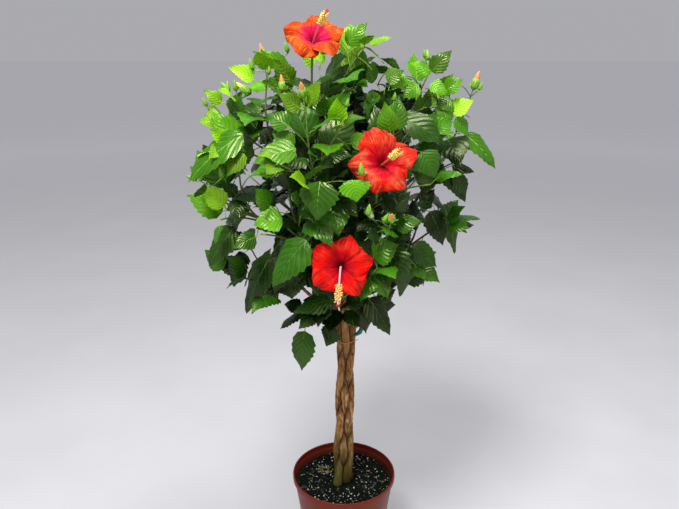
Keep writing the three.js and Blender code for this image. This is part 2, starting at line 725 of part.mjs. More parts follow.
function growBud(random, curve, isFree, grown) {
  const [root, axis] = [onLimb(curve, 0.96, SHOOT.steps), curve.getTangent(1)];
  const size = 0.7 + 0.5 * random();
  const turn = random() * 2 * Math.PI;
  const way = tipped(axis, 0.35 + 0.35 * random(), turn).addScaledVector(UP, 0.3).normalize();
  const neck = along(root, way, BUD.stalk * size);
  const end = along(neck, way, BUD.length * size);
  const places = [0.3, 0.45, 0.6, 0.75, 0.9, 1].map((share) => root.clone().lerp(end, share));
  const crowded = [...grown.leaves, ...grown.buds].some((other) => nearAny(places, other.places, BUD.gap));
  if (!crowded && places.every(isFree)) grown.buds.push({ root, end, size, places });
}

function insideCrown({ x, y, z }, reach = 1) {
  const [heartX, heartY, heartZ] = CROWN.heart;
  const { height, roundness } = z > heartZ ? CROWN.above : CROWN.below;
  const middleX = heartX + CROWN.lean * Math.min(z - heartZ, 0);
  const across = Math.hypot((x - middleX) / CROWN.halfWidth, (y - heartY) / CROWN.halfDepth) / reach;
  return across ** roundness + (Math.abs(z - heartZ) / height / reach) ** roundness < 1;
}

// A mass: its own stem from the carrier's tip, shoots that leave it in turn, and their leaves.
function growMass(name, layouts, limbs) {
  const mass = MASSES[name];
  const random = seededRandom(mass.seed);
  const { radius, middle, hub, stem } = layouts[name];
  const axis = middle.clone().sub(point(CROWN.heart)).normalize().addScaledVector(UP, SHOOT.lightPull);
  axis.normalize();
  const blooms = Object.values(BLOOMS).map((bloom) => {
    const stalk = stalkCurve(bloom);
    const axes = [columnCurve(bloom), stalk].flatMap((curve) => stretchesOf(curve.getPoints(4)));
    return { bloom, stalk, axes };
  });
  const clearOfBlooms = (spot) => !blooms.some((bloom) => touchesBloom(spot, bloom));
  const clearOfLimbs = (spot) =>
    limbs.every(({ line, radius }) => distanceTo(line, spot) > radius + LEAF.limbMargin);
  const isFree = (spot) => clearOfLimbs(spot) && clearOfBlooms(spot) && insideSpace(spot, name, layouts);
  const isFreeInCrown = (spot) => insideCrown(spot) && isFree(spot);
  const isFreeFurtherOut = (spot) => insideCrown(spot, CROWN.outreach) && isFree(spot);
  const grown = { stem, radius, shoots: [], stretches: [], leaves: [], buds: [] };
  const inner = { curve: stem, plan: { leaves: SHOOT.innerLeaves, inner: true } };
  for (const { bloom, stalk } of blooms.filter(({ bloom }) => bloom.mass === name)) {
    const foot = along(stalk.getPoint(0), stalk.getTangent(0), -CLEARANCE);
    const knee = along(foot, stalk.getTangent(0), -foot.distanceTo(hub) * 0.4);
    const curve = new THREE.QuadraticBezierCurve3(hub, knee, foot);
    grown.shoots.push({ curve, plan: { tipRadius: FLOWER.stalkRadius, leaves: 6 } });
  }
  const standouts = (mass.standouts ?? []).map(point);
  const fits = (curve) => SHOOT.testedShares.every((share) => isFree(curve.getPoint(share)));
  for (let i = 0; i < SHOOT.count; i++) {
    const tilt = SHOOT.spread * Math.sqrt((i + 0.35) / SHOOT.count);
    const way = tipped(axis, tilt, i * GOLDEN_ANGLE + random() * 1.2);
    const foot = onLimb(stem, 1 - (0.7 * i) / SHOOT.count, SHOOT.stemSteps);
    const reach = mass.reach * (0.8 + 0.35 * random());
    const plan = { budded: true, standsOut: i < standouts.length };
    const tips = [1, 0.8, 0.6].map((share) => along(middle, way, reach * share));
    if (plan.standsOut) tips.unshift(standouts[i]);
    const curves = tips.map((tip) => {
      const knee = along(foot, stem.getTangent(1), foot.distanceTo(tip) * 0.45);
      return new THREE.QuadraticBezierCurve3(foot, knee, tip);
    });
    const curve = curves.find(fits);
    if (curve) grown.shoots.push({ curve, plan });
  }
  for (const [i, straggler] of (mass.stragglers ?? []).entries()) {
    const foot = onLimb(stem, 0.6 - 0.3 * i, SHOOT.stemSteps);
    const tip = point(straggler.tip);
    const knee = new THREE.Vector3(tip.x, tip.y, foot.z);
    const plan = { hangs: true, leaves: 1, size: straggler.size };
    grown.shoots.push({ curve: new THREE.QuadraticBezierCurve3(foot, knee, tip), plan });
  }
  for (const { curve } of [inner, ...grown.shoots]) {
    const lines = stretchesOf(curve.getPoints(SHOOT.steps));
    grown.stretches.push(...lines.map((line) => ({ line, radius: SHOOT.radius })));
  }
  for (const shoot of [...grown.shoots, inner]) {
    const isOpen = shoot.plan.hangs ? isFree : shoot.plan.standsOut ? isFreeFurtherOut : isFreeInCrown;
    growLeaves(shoot, random, mass, isOpen, grown);
    if (!shoot.plan.budded) continue;
    const chances = shoot.plan.standsOut ? [1, 1, 0.5, 0.5] : [0.8 * mass.light, 0.3 * mass.light];
    for (const chance of chances) {
      if (random() < chance) growBud(random, shoot.curve, isFreeFurtherOut, grown);
    }
  }
  return grown;
}

// A leaf as a solid: a three-sided stalk that opens into a blade with a keel below it.
function leafGeometry(leaf) {
  const keel = leaf.length * LEAF.keelShare;
  const blade = (share, widthShare) => ({
    ...bladeFrame(leaf, share), edge: (widthShare * leaf.width) / 2, below: keel, above: 0,
  });
  const stalk = (radius) => ({
    ...bladeFrame(leaf, 0), edge: radius * 0.87, below: radius, above: radius * 0.5,
  });
  const rings = [
    { ...stalk(LEAF.rootRadius), middle: leaf.root },
    stalk(LEAF.petioleRadius),
    blade(LEAF.wideAt, 1),
    { ...blade(1, 0), below: 0 },
  ];
  return placeRings(new THREE.ConeGeometry(1, 1, 3, rings.length - 1), (share, x, z) => {
    const { middle, side, lift, edge, below, above } = rings[Math.round(share * (rings.length - 1))];
    if (x === 0 && z === 0) return middle.clone();
    const onKeel = z > 0.5;
    if (onKeel) return along(middle, lift, -below);
    return along(middle, side, Math.sign(x) * edge).addScaledVector(lift, above);
  });
}

function budGeometry({ root, end, size }) {
  const steps = [[0, LEAF.rootRadius], [0.5, BUD.stalkRadius], [0.7, BUD.radius * size], [1, 0.8]];
  return steppedLimb(new THREE.LineCurve3(root, end), steps, BUD.sides);
}

function massSolid(grown) {
  const stem = limb(grown.stem, grown.radius, SHOOT.stemRadius, 5, SHOOT.stemSteps);
  const shoots = grown.shoots.map(({ curve, plan }) =>
    limb(curve, SHOOT.radius, plan.tipRadius ?? SHOOT.tipRadius, SHOOT.sides, SHOOT.steps),
  );
  return fused([stem, ...shoots, ...grown.leaves.map(leafGeometry), ...grown.buds.map(budGeometry)]);
}

// ---- The whole plant ----

const plant = new THREE.Group();
plant.add(meshOf("pot", potSolid(), COLOURS.pot));
plant.add(meshOf("soil", soilSolid(), COLOURS.soil));
for (const [name, solid] of stemSolids()) plant.add(meshOf(name, solid, COLOURS.bark));
for (const [name, bough] of Object.entries(BOUGHS)) {
  plant.add(meshOf(name, boughSolid(bough), COLOURS.bark));
}
for (const [name, bloom] of Object.entries(BLOOMS)) {
  plant.add(meshOf(name, bloomSolid(bloom), COLOURS.petal));
}

const limbs = limbStretches();
const layouts = Object.fromEntries(Object.keys(MASSES).map((name) => [name, layOutMass(name)]));
for (const name of Object.keys(MASSES)) {
  const { light } = MASSES[name];
  const look = light > 0.65 ? COLOURS.youngLeaf : light > 0.3 ? COLOURS.leaf : COLOURS.shadeLeaf;
  const grown = growMass(name, layouts, limbs);
  plant.add(meshOf(`foliage_${name}`, massSolid(grown), look));
}

export default plant;
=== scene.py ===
import math

import bpy
import numpy as np
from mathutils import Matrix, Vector, noise


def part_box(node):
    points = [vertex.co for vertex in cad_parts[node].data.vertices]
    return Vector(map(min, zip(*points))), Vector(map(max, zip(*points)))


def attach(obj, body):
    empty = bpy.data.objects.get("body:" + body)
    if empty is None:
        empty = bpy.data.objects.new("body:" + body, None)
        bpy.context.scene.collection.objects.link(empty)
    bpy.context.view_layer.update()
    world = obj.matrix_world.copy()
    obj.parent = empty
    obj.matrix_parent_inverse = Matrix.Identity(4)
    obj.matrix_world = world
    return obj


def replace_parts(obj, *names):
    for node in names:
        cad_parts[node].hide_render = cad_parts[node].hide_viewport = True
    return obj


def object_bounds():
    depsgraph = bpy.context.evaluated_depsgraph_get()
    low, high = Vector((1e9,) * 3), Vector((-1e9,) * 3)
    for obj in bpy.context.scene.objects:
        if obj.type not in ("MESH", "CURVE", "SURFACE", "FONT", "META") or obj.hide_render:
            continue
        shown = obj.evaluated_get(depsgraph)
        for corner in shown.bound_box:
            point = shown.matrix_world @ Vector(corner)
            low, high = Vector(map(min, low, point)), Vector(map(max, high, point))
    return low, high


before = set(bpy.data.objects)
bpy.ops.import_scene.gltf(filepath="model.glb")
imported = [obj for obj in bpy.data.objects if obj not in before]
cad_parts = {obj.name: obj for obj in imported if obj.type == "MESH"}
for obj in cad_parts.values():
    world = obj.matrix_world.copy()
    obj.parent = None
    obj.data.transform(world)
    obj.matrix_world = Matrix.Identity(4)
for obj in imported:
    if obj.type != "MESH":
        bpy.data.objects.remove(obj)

cad_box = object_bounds()

MM = 0.001
UP = np.array([0.0, 0.0, 1.0])
GOLDEN_ANGLE = math.pi * (3 - math.sqrt(5))
CLEARANCE = 0.3
REACH_LOW, REACH_HIGH = np.array(cad_box[0]) / MM, np.array(cad_box[1]) / MM

# ---- Sizes that the source gives ----

POT = dict(
    height=190, rim_radius=108, rim_depth=11, rim_lip=3.6, base_radius=79, wall=2, floor=3,
    ledge_below_rim=12, ledge_width=1.6, drain_holes=5, drain_radius=6, drain_circle=56, sides=112,
)
SOIL_TOP = 166

BRAID = dict(
    foot=SOIL_TOP + CLEARANCE, fork=498, pitch=488, bulge=250, half_width=(13, 11), half_depth=(9.8, 8.4),
    lean_x=(-2, 4), lean_y=(-5, 0), foot_radius=7.8, fork_radius=6.4, flare=0.3, flare_height=22,
    rings=15, leader_rings=5,
)
STEMS = {
    "stem_front": dict(strand=0, tip=(-24, -56, 745)),
    "stem_left": dict(strand=1, tip=(-76, -12, 775)),
    "stem_back": dict(strand=2, tip=(-8, 34, 810)),
    "stem_right": dict(strand=3, tip=(74, 2, 785)),
}
LEADER_TIP_RADIUS = 3.4

BOUGHS = {
    "bough_left_side": dict(stem="stem_left", height=620, end=(-120, -18, 716)),
    "bough_left_low": dict(stem="stem_left", height=556, end=(-80, -36, 620)),
    "bough_left_skirt": dict(stem="stem_left", height=512, end=(-34, -32, 556)),
    "bough_right_shoulder": dict(stem="stem_right", height=670, end=(128, -6, 772)),
    "bough_right_side": dict(stem="stem_right", height=586, end=(96, -16, 664)),
    "bough_right_skirt": dict(stem="stem_right", height=520, end=(50, -24, 564)),
    "bough_front_low": dict(stem="stem_front", height=572, end=(22, -76, 664)),
    "bough_front_left": dict(stem="stem_left", height=596, end=(-50, -82, 690)),
    "bough_front_middle": dict(stem="stem_front", height=650, end=(28, -70, 748)),
    "bough_back_top": dict(stem="stem_back", height=690, end=(12, 92, 796)),
    "bough_back_left": dict(stem="stem_back", height=590, end=(-60, 72, 688)),
    "bough_back_right": dict(stem="stem_back", height=640, end=(62, 76, 716)),
    "bough_back_low": dict(stem="stem_back", height=534, end=(2, 62, 596)),
}
BOUGH = dict(base_radius=4.6, tip_radius=3.0, steps=3, rise=0.45)

# light is how young and how well lit the leaves of a mass are: their tone follows it, so it is partly
# painted light and shade. standouts are the tips of shoots that show above the rest, and stragglers
# those of ones that hang, with how large their leaf is.
MASSES = {
    "crown_top": dict(on="stem_back", middle=(-30, 2, 985), reach=88, light=0.85, seed=11,
                      standouts=[(34, -12, 1050)]),
    "crown_top_right": dict(on="stem_right", middle=(106, 0, 956), reach=92, light=0.9, seed=12,
                            standouts=[(150, 6, 1010)]),
    "crown_top_left": dict(on="stem_left", middle=(-140, -24, 928), reach=92, light=0.8, seed=13,
                           standouts=[(-184, -52, 962), (-132, -24, 1008)]),
    "crown_front": dict(on="stem_front", middle=(-54, -138, 890), reach=78, light=0.85, seed=14,
                        standouts=[(-60, -172, 956)]),
    "right_shoulder": dict(on="bough_right_shoulder", middle=(196, -14, 888), reach=78, light=0.6, seed=15,
                           standouts=[(222, -6, 966), (248, -4, 884)]),
    "left_side": dict(on="bough_left_side", middle=(-208, -36, 796), reach=70, light=0.55, seed=16,
                      standouts=[(-240, -60, 822)]),
    "right_side": dict(on="bough_right_side", middle=(138, -44, 726), reach=62, light=0.2, seed=17),
    "left_low": dict(on="bough_left_low", middle=(-150, -68, 656), reach=72, light=0.2, seed=29),
    "front_middle": dict(on="bough_front_middle", middle=(76, -122, 868), reach=68, light=0.55, seed=19),
    "front_left": dict(on="bough_front_left", middle=(-84, -146, 768), reach=64, light=0.4, seed=27),
    "front_low": dict(on="bough_front_low", middle=(62, -140, 740), reach=62, light=0.4, seed=20,
                      standouts=[(40, -182, 806)]),
    "left_skirt": dict(on="bough_left_skirt", middle=(-54, -66, 620), reach=48, light=0.1, seed=21,
                       stragglers=[dict(tip=(-76, -64, 566), size=1), dict(tip=(-24, -62, 562), size=0.5)]),
    "right_skirt": dict(on="bough_right_skirt", middle=(68, -56, 608), reach=52, light=0.1, seed=22),
    "back_top": dict(on="bough_back_top", middle=(22, 150, 905), reach=82, light=0.7, seed=23,
                     standouts=[(10, 150, 1000)]),
    "back_left": dict(on="bough_back_left", middle=(-136, 130, 768), reach=80, light=0.35, seed=24),
    "back_right": dict(on="bough_back_right", middle=(126, 136, 778), reach=80, light=0.35, seed=25),
    "back_low": dict(on="bough_back_low", middle=(0, 128, 655), reach=66, light=0.1, seed=26),
}
CROWN = dict(heart=np.array([-8.0, -4.0, 785.0]), half_width=264, half_depth=266,
             above=(292, 2.2), below=(258, 1.7), lean=0.16, outreach=1.1)

SHOOT = dict(
    count=5, hub_share=0.5, spread=1.7, light_pull=0.55, radius=1.9, tip_radius=1.4, stem_radius=2.7,
    inner_leaves=2, leaves=5, first_leaf=0.1, stem_steps=2, steps=3,
    tested_shares=(0.2, 0.3, 0.4, 0.5, 0.6, 0.7, 0.8, 0.9, 1),
)
LEAF = dict(
    longest=126, shortest=60, width_share=0.68, petiole_share=0.3, root_radius=0.65, petiole_radius=1.1,
    petiole_lean=0.95, outwards=0.3, facing=(0.35, 0.75, 1.0), roll_span=1.3, keel_share=0.03, wide_at=0.36,
    turns=12, space_margin=2, limb_margin=2.0, twig_margin=1.2, leaf_gap=6, stalk_gap=3,
)
BUD = dict(length=26, radius=6, stalk=30, stalk_radius=1.0, gap=8)

BLOOMS = {
    "bloom_top": dict(mass="crown_top", throat=(-51, -46, 1073), facing=(0.1, -0.66, 0.74),
                      column=(0.36, -0.8, 0.5), radius=54, turn=0.35),
    "bloom_middle": dict(mass="front_middle", throat=(58, -206, 882), facing=(0.1, -0.93, 0.35),
                         column=(0.32, -0.86, 0.42), radius=54, turn=0.1),
    "bloom_low": dict(mass="front_low", throat=(-8, -222, 722), facing=(-0.04, -0.94, 0.32),
                      column=(-0.06, -0.62, -0.72), radius=52, turn=0.5),
}
FLOWER = dict(
    petals=5, petal_width_share=0.68, throat_radius=5, throat_depth=26, curl_back=7, overlap_tilt=5,
    column_length=62, column_radius=2.2, anther_radius=6.5, calyx_radius=8, calyx_length=20,
    stalk_radius=1.9, stalk_back=26, stalk_drop=44, space_margin=6,
)

# ---- Sizes of the finer growth and the looks ----

FINER = dict(
    rounds=2,  # times over that the crown is gone through
    feet=(0.3, 0.55, 0.8),  # where side twigs leave a shoot
    lean=0.9, reach=(22, 52), radius=1.15, tip_radius=0.7, leaves=4, turns=8,
    longest=102, shortest=52, gap=9.5, twig_gap=4, margin=3,
    within=0.86,  # of the crown's egg
)
TIP_LEAVES = dict(count=3, lean=0.55, sag=0.2, sizes=(34, 52), gap=4.5, within=1.05, turns=5)

# The camera, and the size of its frame in pixels.
CAMERA = dict(place=(-9.137, -1156.291, 1031.644), pitch=72.7724, lens=33.6035, sensor=36, frame=(679, 509))


def in_view(across, down, depth):
    """The place at a depth that shows so many pixels across and down the frame, in whole millimetres."""
    width, height = CAMERA["frame"]
    focal = CAMERA["lens"] / CAMERA["sensor"] * width
    right, rise = (across - width / 2) / focal, (height / 2 - down) / focal
    fall = math.radians(90 - CAMERA["pitch"])
    ahead, up = math.cos(fall) + rise * math.sin(fall), rise * math.cos(fall) - math.sin(fall)
    eye = np.array(CAMERA["place"])
    return np.round(eye + np.array([right, ahead, up]) * (depth - eye[1]) / ahead)


# Leaves that catch the eye at the front and round the outline: neck, tip, width and tone. A place is
# given as the pixels where it shows in the camera's frame, with its depth, or in millimetres.
FRONT_LEAVES = [
    ((-165, -120, 914), (-264, -130, 838), 50, 0.45),
    ((-75, -190, 900), (-143, -200, 880), 42, 0.66),
    (in_view(289, 69, -20), in_view(252, 51, -30), 28, 0.70),
    (in_view(254, 79, -30), in_view(228, 67, -40), 28, 0.95),
    (in_view(233, 117, -50), in_view(240, 91, -60), 42, 0.50),
    (in_view(222, 103, -40), in_view(203, 90, -50), 22, 0.80),
    (in_view(219, 113, -50), in_view(204, 116, -55), 20, 0.80),
    (in_view(245, 154, -130), in_view(226, 177, -140), 34, 0.80),
    (in_view(222, 213, -70), in_view(186, 194, -80), 40, 0.75),
    (in_view(225, 206, -90), in_view(201, 185, -100), 34, 0.80),
    (in_view(235, 227, -90), in_view(207, 267, -100), 50, 0.42),
    (in_view(240, 256, -70), in_view(233, 288, -75), 38, 0.20),
    (in_view(272, 254, -120), in_view(244, 315, -120), 46, 0.15),
    (in_view(307, 240, -200), in_view(270, 287, -205), 54, 0.41),
    (in_view(295, 269, -130), in_view(291, 300, -135), 44, 0.15),
    (in_view(331, 300, -140), in_view(293, 312, -150), 34, 0.40),
    (in_view(332, 309, -105), in_view(299, 321, -115), 26, 0.35),
    (in_view(282, 218, -180), in_view(253, 225, -190), 42, 0.75),
    (in_view(320, 181, -225), in_view(317, 221, -235), 56, 0.59),
    (in_view(347, 45, -15), in_view(367, 22, -20), 30, 0.60),
    (in_view(431, 72, -20), in_view(410, 62, -35), 26, 0.70),
    (in_view(431, 72, -20), in_view(452, 50, -25), 30, 0.70),
    (in_view(400, 117, -120), in_view(449, 144, -135), 50, 0.30),
    (in_view(464, 134, -30), in_view(499, 168, -40), 36, 0.50),
    (in_view(443, 172, -60), in_view(468, 202, -70), 32, 0.20),
    (in_view(452, 167, -40), in_view(475, 171, -50), 22, 0.25),
    (in_view(421, 152, -165), in_view(437, 178, -175), 50, 0.42),
    ((10, -222, 858), (17, -230, 826), 46, 0.75),
    (in_view(443, 204, -60), in_view(457, 255, -65), 38, 0.50),
    (in_view(430, 211, -80), in_view(444, 246, -85), 44, 0.15),
    (in_view(422, 242, -60), in_view(424, 288, -65), 36, 0.30),
    (in_view(408, 246, -90), in_view(401, 299, -95), 46, 0.20),
    (in_view(368, 298, -90), in_view(393, 336, -100), 42, 0.25),
    (in_view(362, 301, -60), in_view(367, 335, -65), 32, 0.10),
    (in_view(377, 274, -165), in_view(389, 299, -170), 34, 0.60),
    (in_view(373, 256, -190), in_view(399, 244, -200), 42, 0.55),
    (in_view(305, 331, -64), in_view(300, 373, -68), 46, 0.38),
    (in_view(333, 326, -60), in_view(326, 347, -62), 38, 0.15),
    (in_view(452, 112, -40), in_view(474, 100, -45), 30, 0.80),
    (in_view(455, 118, -40), in_view(470, 136, -45), 30, 0.55),
    (in_view(448, 108, -40), in_view(440, 126, -45), 28, 0.60),
    (in_view(455, 172, -60), in_view(467, 200, -65), 30, 0.20),
    (in_view(386, 80, -70), in_view(404, 70, -75), 28, 0.75),
    (in_view(418, 84, -60), in_view(403, 98, -65), 30, 0.60),
    (in_view(430, 84, -50), in_view(447, 95, -55), 30, 0.70),
    (in_view(446, 90, -40), in_view(463, 79, -45), 28, 0.75),
    (in_view(404, 74, -60), in_view(391, 89, -65), 28, 0.65),
    (in_view(452, 100, -40), in_view(436, 108, -45), 28, 0.50),
]
# Buds that stand there: foot and end.
FRONT_BUDS = [
    (in_view(207, 106, -45), in_view(202, 97, -48)),
    (in_view(228, 93, -50), in_view(227, 80, -53)),
    (in_view(251, 94, -60), in_view(233, 81, -63)),
    (in_view(253, 70, -30), in_view(249, 58, -33)),
    (in_view(269, 74, -60), in_view(269, 66, -63)),
    (in_view(283, 92, -110), in_view(281, 74, -113)),
    (in_view(288, 52, -15), in_view(284, 42, -18)),
    (in_view(363, 42, -15), in_view(362, 29, -18)),
    (in_view(425, 58, -20), in_view(424, 49, -23)),
    (in_view(473, 90, -25), in_view(480, 68, -28)),
    (in_view(479, 90, -30), in_view(483, 82, -33)),
    (in_view(368, 216, -225), in_view(370, 203, -228)),
    (in_view(383, 222, -222), in_view(389, 213, -225)),
    (in_view(222, 178, -110), in_view(220, 167, -113)),
    (in_view(362, 176, -225), in_view(361, 162, -228)),
    (in_view(347, 107, -165), in_view(348, 98, -168)),
    (in_view(394, 101, -130), in_view(395, 93, -133)),
]
# Clusters of the youngest leaves, at the ends of shoots: where, and how many.
ROSETTES = [
    (in_view(300, 112, -165), 6), (in_view(372, 70, -40), 6), ((66, -45, 1022), 5),
    (in_view(402, 78, -60), 6), (in_view(420, 92, -70), 7), (in_view(364, 241, -215), 6),
    (in_view(460, 112, -30), 5), ((190, -40, 962), 5), ((173, -60, 930), 5),
    (in_view(350, 150, -190), 4), ((-133, -70, 985), 6), (in_view(345, 90, -130), 4),
    ((20, -30, 1040), 4), ((-215, -70, 800), 4), ((60, 150, 960), 5),
    ((-60, 160, 930), 5), (in_view(378, 56, -40), 6), (in_view(387, 72, -50), 6),
    (in_view(405, 86, -60), 6), (in_view(425, 88, -60), 6), (in_view(446, 106, -45), 6),
    (in_view(462, 86, -30), 5), (in_view(470, 118, -30), 6), (in_view(268, 80, -60), 6),
]
# How far a stalk's foot may be from a shoot that it is seated on.
SEAT_REACH = 9
ROSETTE = dict(sizes=(22, 46), lean=(0.25, 1.3), tone=(0.7, 1.0))
FRONT = dict(gap=8, tried_shares=(0.35, 0.5, 0.65, 0.8, 0.9, 1.0), arch=0.1, facing=(0.3, -0.75, 0.6))
# Where sky shows through the whole crown: x and z in the upright plane of the trunk, and how wide.
OPENINGS = np.array([
    (-45, 1010, 12), (-190, 820, 10), (-160, 815, 8), (-195, 870, 8), (-145, 895, 8), (130, 890, 10),
    (130, 805, 10), (205, 915, 8), (75, 1000, 8), (-150, 710, 20), (-170, 755, 15), (190, 800, 15),
    (245, 815, 20), (190, 680, 12), (-265, 725, 15), (245, 855, 8), (-135, 550, 15), (-170, 665, 10),
    (140, 595, 10), (-200, 1000, 8), (-115, 765, 10), (160, 715, 20), (-85, 605, 15), (-55, 508, 10),
    (-190, 735, 12), (-255, 760, 12),
])
BLADE_ROWS = 14
BLADE_WIDE_AT = 0.34
BLADE_SPREAD = 1.14
BLADE_COLUMNS = (-1, -0.52, 0, 0.52, 1)
LEAF_GLINT = (0.9, 1.0, 0.5, 1.0)

# The leaves fall into tones, from the oldest and most shaded to the youngest: up to which share of
# light each one goes, its blade and its veins, how glossy it is, and the record's slot.
LEAF_TONES = {
    "leaves_shade": dict(upto=0.12, blade="#071b03", vein="#1c3a0c", roughness=0.30, slot="foliage_shade"),
    "leaves_deep": dict(upto=0.26, blade="#103004", vein="#285610", roughness=0.29, slot="foliage_shade"),
    "leaves_full": dict(upto=0.42, blade="#1b4604", vein="#427814", roughness=0.29, slot="foliage_mature"),
    "leaves_fresh": dict(upto=0.60, blade="#2c6404", vein="#5e941a", roughness=0.29, slot="foliage_mature"),
    "leaves_bright": dict(upto=0.80, blade="#468405", vein="#7eb824", roughness=0.32, slot="foliage_young"),
    "leaves_tender": dict(upto=2.00, blade="#7cb808", vein="#b2dc3a", roughness=0.36, slot="foliage_young"),
}
# The colours of each bloom, how far its edges wave, how round its petals are, and how much further
# the upper ones reach than the lower ones.
BLOOM_LOOKS = {
    "bloom_top": dict(throat="#8c0434", heart="#e00c54", petal="#e04206", streak="#8c1404", edge="#f88830",
                      column="#e87c88", anther="#f2c21c", stigma="#a81c12",
                      ruffle=6.0, rounding=0.22, lift=0.0),
    "bloom_middle": dict(throat="#8c0614", heart="#e00c28", petal="#ea260c", streak="#7c0604", edge="#ff7c58",
                         column="#d8604a", anther="#f2ca2c", stigma="#c02a1a",
                         ruffle=7.5, rounding=0.34, lift=0.13),
    "bloom_low": dict(throat="#4c020c", heart="#d2041c", petal="#f20602", streak="#900204", edge="#ff4030",
                      column="#f0b4c0", anther="#f09a1c", stigma="#c83014",
                      ruffle=5.4, rounding=0.24, lift=0.0),
}
SEEDS = dict(rosettes=909, leaves=5150, buds=77, perlite=301, chips=302, straws=303, crumbs=304)
PETAL_GRID = (18, 20)
PETAL = dict(foot=1.2, fold=1.2, curl=9)


# ---- Seeded random numbers, directions and curves ----

def seeded_random(seed):
    """Draws from 0 to 1 that are the same each time for a seed."""
    whole = 0xFFFFFFFF
    state = seed & whole

    def draw():
        nonlocal state
        state = (state + 0x6D2B79F5) & whole
        mixed = ((state ^ (state >> 15)) * (state | 1)) & whole
        mixed ^= (mixed + (mixed ^ (mixed >> 7)) * (mixed | 61)) & whole
        return (mixed ^ (mixed >> 14)) / 4294967296

    return draw


def spot(place):
    return np.array(place, float)


def unit(way):
    return way / np.linalg.norm(way)


def mix(low, high, share):
    return low + (high - low) * share


def clamp(value, low=0.0, high=1.0):
    return min(max(value, low), high)


def side_of(axis):
    """A unit vector square to the axis, and level where the axis isn't upright."""
    side = np.cross(axis, UP)
    return np.array([1.0, 0, 0]) if side @ side < 1e-6 else unit(side)


def tipped(axis, angle, turn):
    """The axis tipped over by an angle, towards a turn round it."""
    side = side_of(axis)
    lift = np.cross(side, axis)
    across = side * math.cos(turn) + lift * math.sin(turn)
    return axis * math.cos(angle) + across * math.sin(angle)


class Bend:
    """A curve from a start to an end, drawn towards a knee."""

    def __init__(self, start, knee, end):
        self.start, self.knee, self.end = start, knee, end

    def at(self, share):
        rest = 1 - share
        return rest * rest * self.start + 2 * rest * share * self.knee + share * share * self.end

    def way(self, share):
        return unit((1 - share) * (self.knee - self.start) + share * (self.end - self.knee))

    def points(self, steps):
        return [self.at(i / steps) for i in range(steps + 1)]


def on_limb(curve, share, steps):
    """A place on the straight stretches that a limb of so many steps has along its curve."""
    step = min(int(share * steps), steps - 1)
    return mix(curve.at(step / steps), curve.at((step + 1) / steps), share * steps - step)


def distances(places, starts, ends):
    """How far each place is from each straight stretch."""
    spans = ends - starts
    offsets = places[:, None] - starts
    shares = np.clip((offsets * spans).sum(2) / (spans * spans).sum(1), 0, 1)
    return np.linalg.norm(offsets - shares[..., None] * spans, axis=2)


class Stretches:
    """Straight stretches, each with a radius, that leaves are held clear of."""

    def __init__(self):
        self.starts, self.ends, self.radii = [], [], []
        self.packed = None

    def add(self, points, radii):
        self.starts += points[:-1]
        self.ends += points[1:]
        self.radii += list(radii)[: len(points) - 1]
        self.packed = None

    def clear(self, places, margin):
        if self.packed is None:
            self.packed = np.array(self.starts), np.array(self.ends), np.array(self.radii)
        starts, ends, radii = self.packed
        return bool((distances(places, starts, ends) > radii + margin).all())


# ---- Stems and boughs ----

def strand_middle(strand, height):
    """Middle of a strand of the braid: it crosses from side to side once while it goes three times
    between front and back."""
    rise = (height - BRAID["foot"]) / (BRAID["fork"] - BRAID["foot"])
    angle = 2 * math.pi * (height - BRAID["bulge"]) / BRAID["pitch"] + strand * math.pi / 2
    return np.array([
        mix(*BRAID["lean_x"], rise) + mix(*BRAID["half_width"], rise) * math.sin(angle),
        mix(*BRAID["lean_y"], rise) + mix(*BRAID["half_depth"], rise) * math.cos(3 * angle),
        height,
    ])


def stem_middle(stem, height):
    """Middle of a stem at a height: in the braid up to the fork, then out to its own tip."""
    if height <= BRAID["fork"]:
        return strand_middle(stem["strand"], height)
    foot = strand_middle(stem["strand"], BRAID["fork"])
    bend = ((height - BRAID["fork"]) / (stem["tip"][2] - BRAID["fork"])) ** 1.25
    return np.array([mix(foot[0], stem["tip"][0], bend), mix(foot[1], stem["tip"][1], bend), height])


def stem_radius(stem, height):
    if height > BRAID["fork"]:
        share = (height - BRAID["fork"]) / (stem["tip"][2] - BRAID["fork"])
        return mix(BRAID["fork_radius"], LEADER_TIP_RADIUS, share)
    share = (height - BRAID["foot"]) / (BRAID["fork"] - BRAID["foot"])
    flare = 1 + BRAID["flare"] * math.exp(-(height - BRAID["foot"]) / BRAID["flare_height"])
    return mix(BRAID["foot_radius"], BRAID["fork_radius"], share) * flare


def ring_heights(stem, rings=BRAID["rings"], leader_rings=BRAID["leader_rings"]):
    braid = [mix(BRAID["foot"], BRAID["fork"], i / rings) for i in range(rings)]
    leader = [mix(BRAID["fork"], stem["tip"][2], i / leader_rings) for i in range(leader_rings + 1)]
    return braid + leader


def bough_curve(bough):
    start = stem_middle(STEMS[bough["stem"]], bough["height"])
    finish = spot(bough["end"])
    knee = mix(start, finish, 0.5)
    knee[2] = mix(start[2], finish[2], BOUGH["rise"])
    return Bend(start, knee + (finish - start) * [0.1, 0.1, 0], finish)


def limb_stretches():
    limbs = Stretches()
    for stem in STEMS.values():
        heights = ring_heights(stem)
        limbs.add([stem_middle(stem, h) for h in heights], [stem_radius(stem, h) for h in heights])
    for bough in BOUGHS.values():
        radii = [mix(BOUGH["base_radius"], BOUGH["tip_radius"], i / BOUGH["steps"]) for i in range(4)]
        limbs.add(bough_curve(bough).points(BOUGH["steps"]), radii)
    return limbs


# ---- Blooms as room that leaves keep out of ----

def bloom_frame(bloom):
    axis = unit(spot(bloom["facing"]))
    side = side_of(axis)
    return spot(bloom["throat"]), axis, side, np.cross(side, axis)


def petal_height(share):
    """How far in front of the throat's rim a petal lies, at a share of the way out."""
    return -FLOWER["throat_depth"] * (1 - share) ** 3 - FLOWER["curl_back"] * share**3


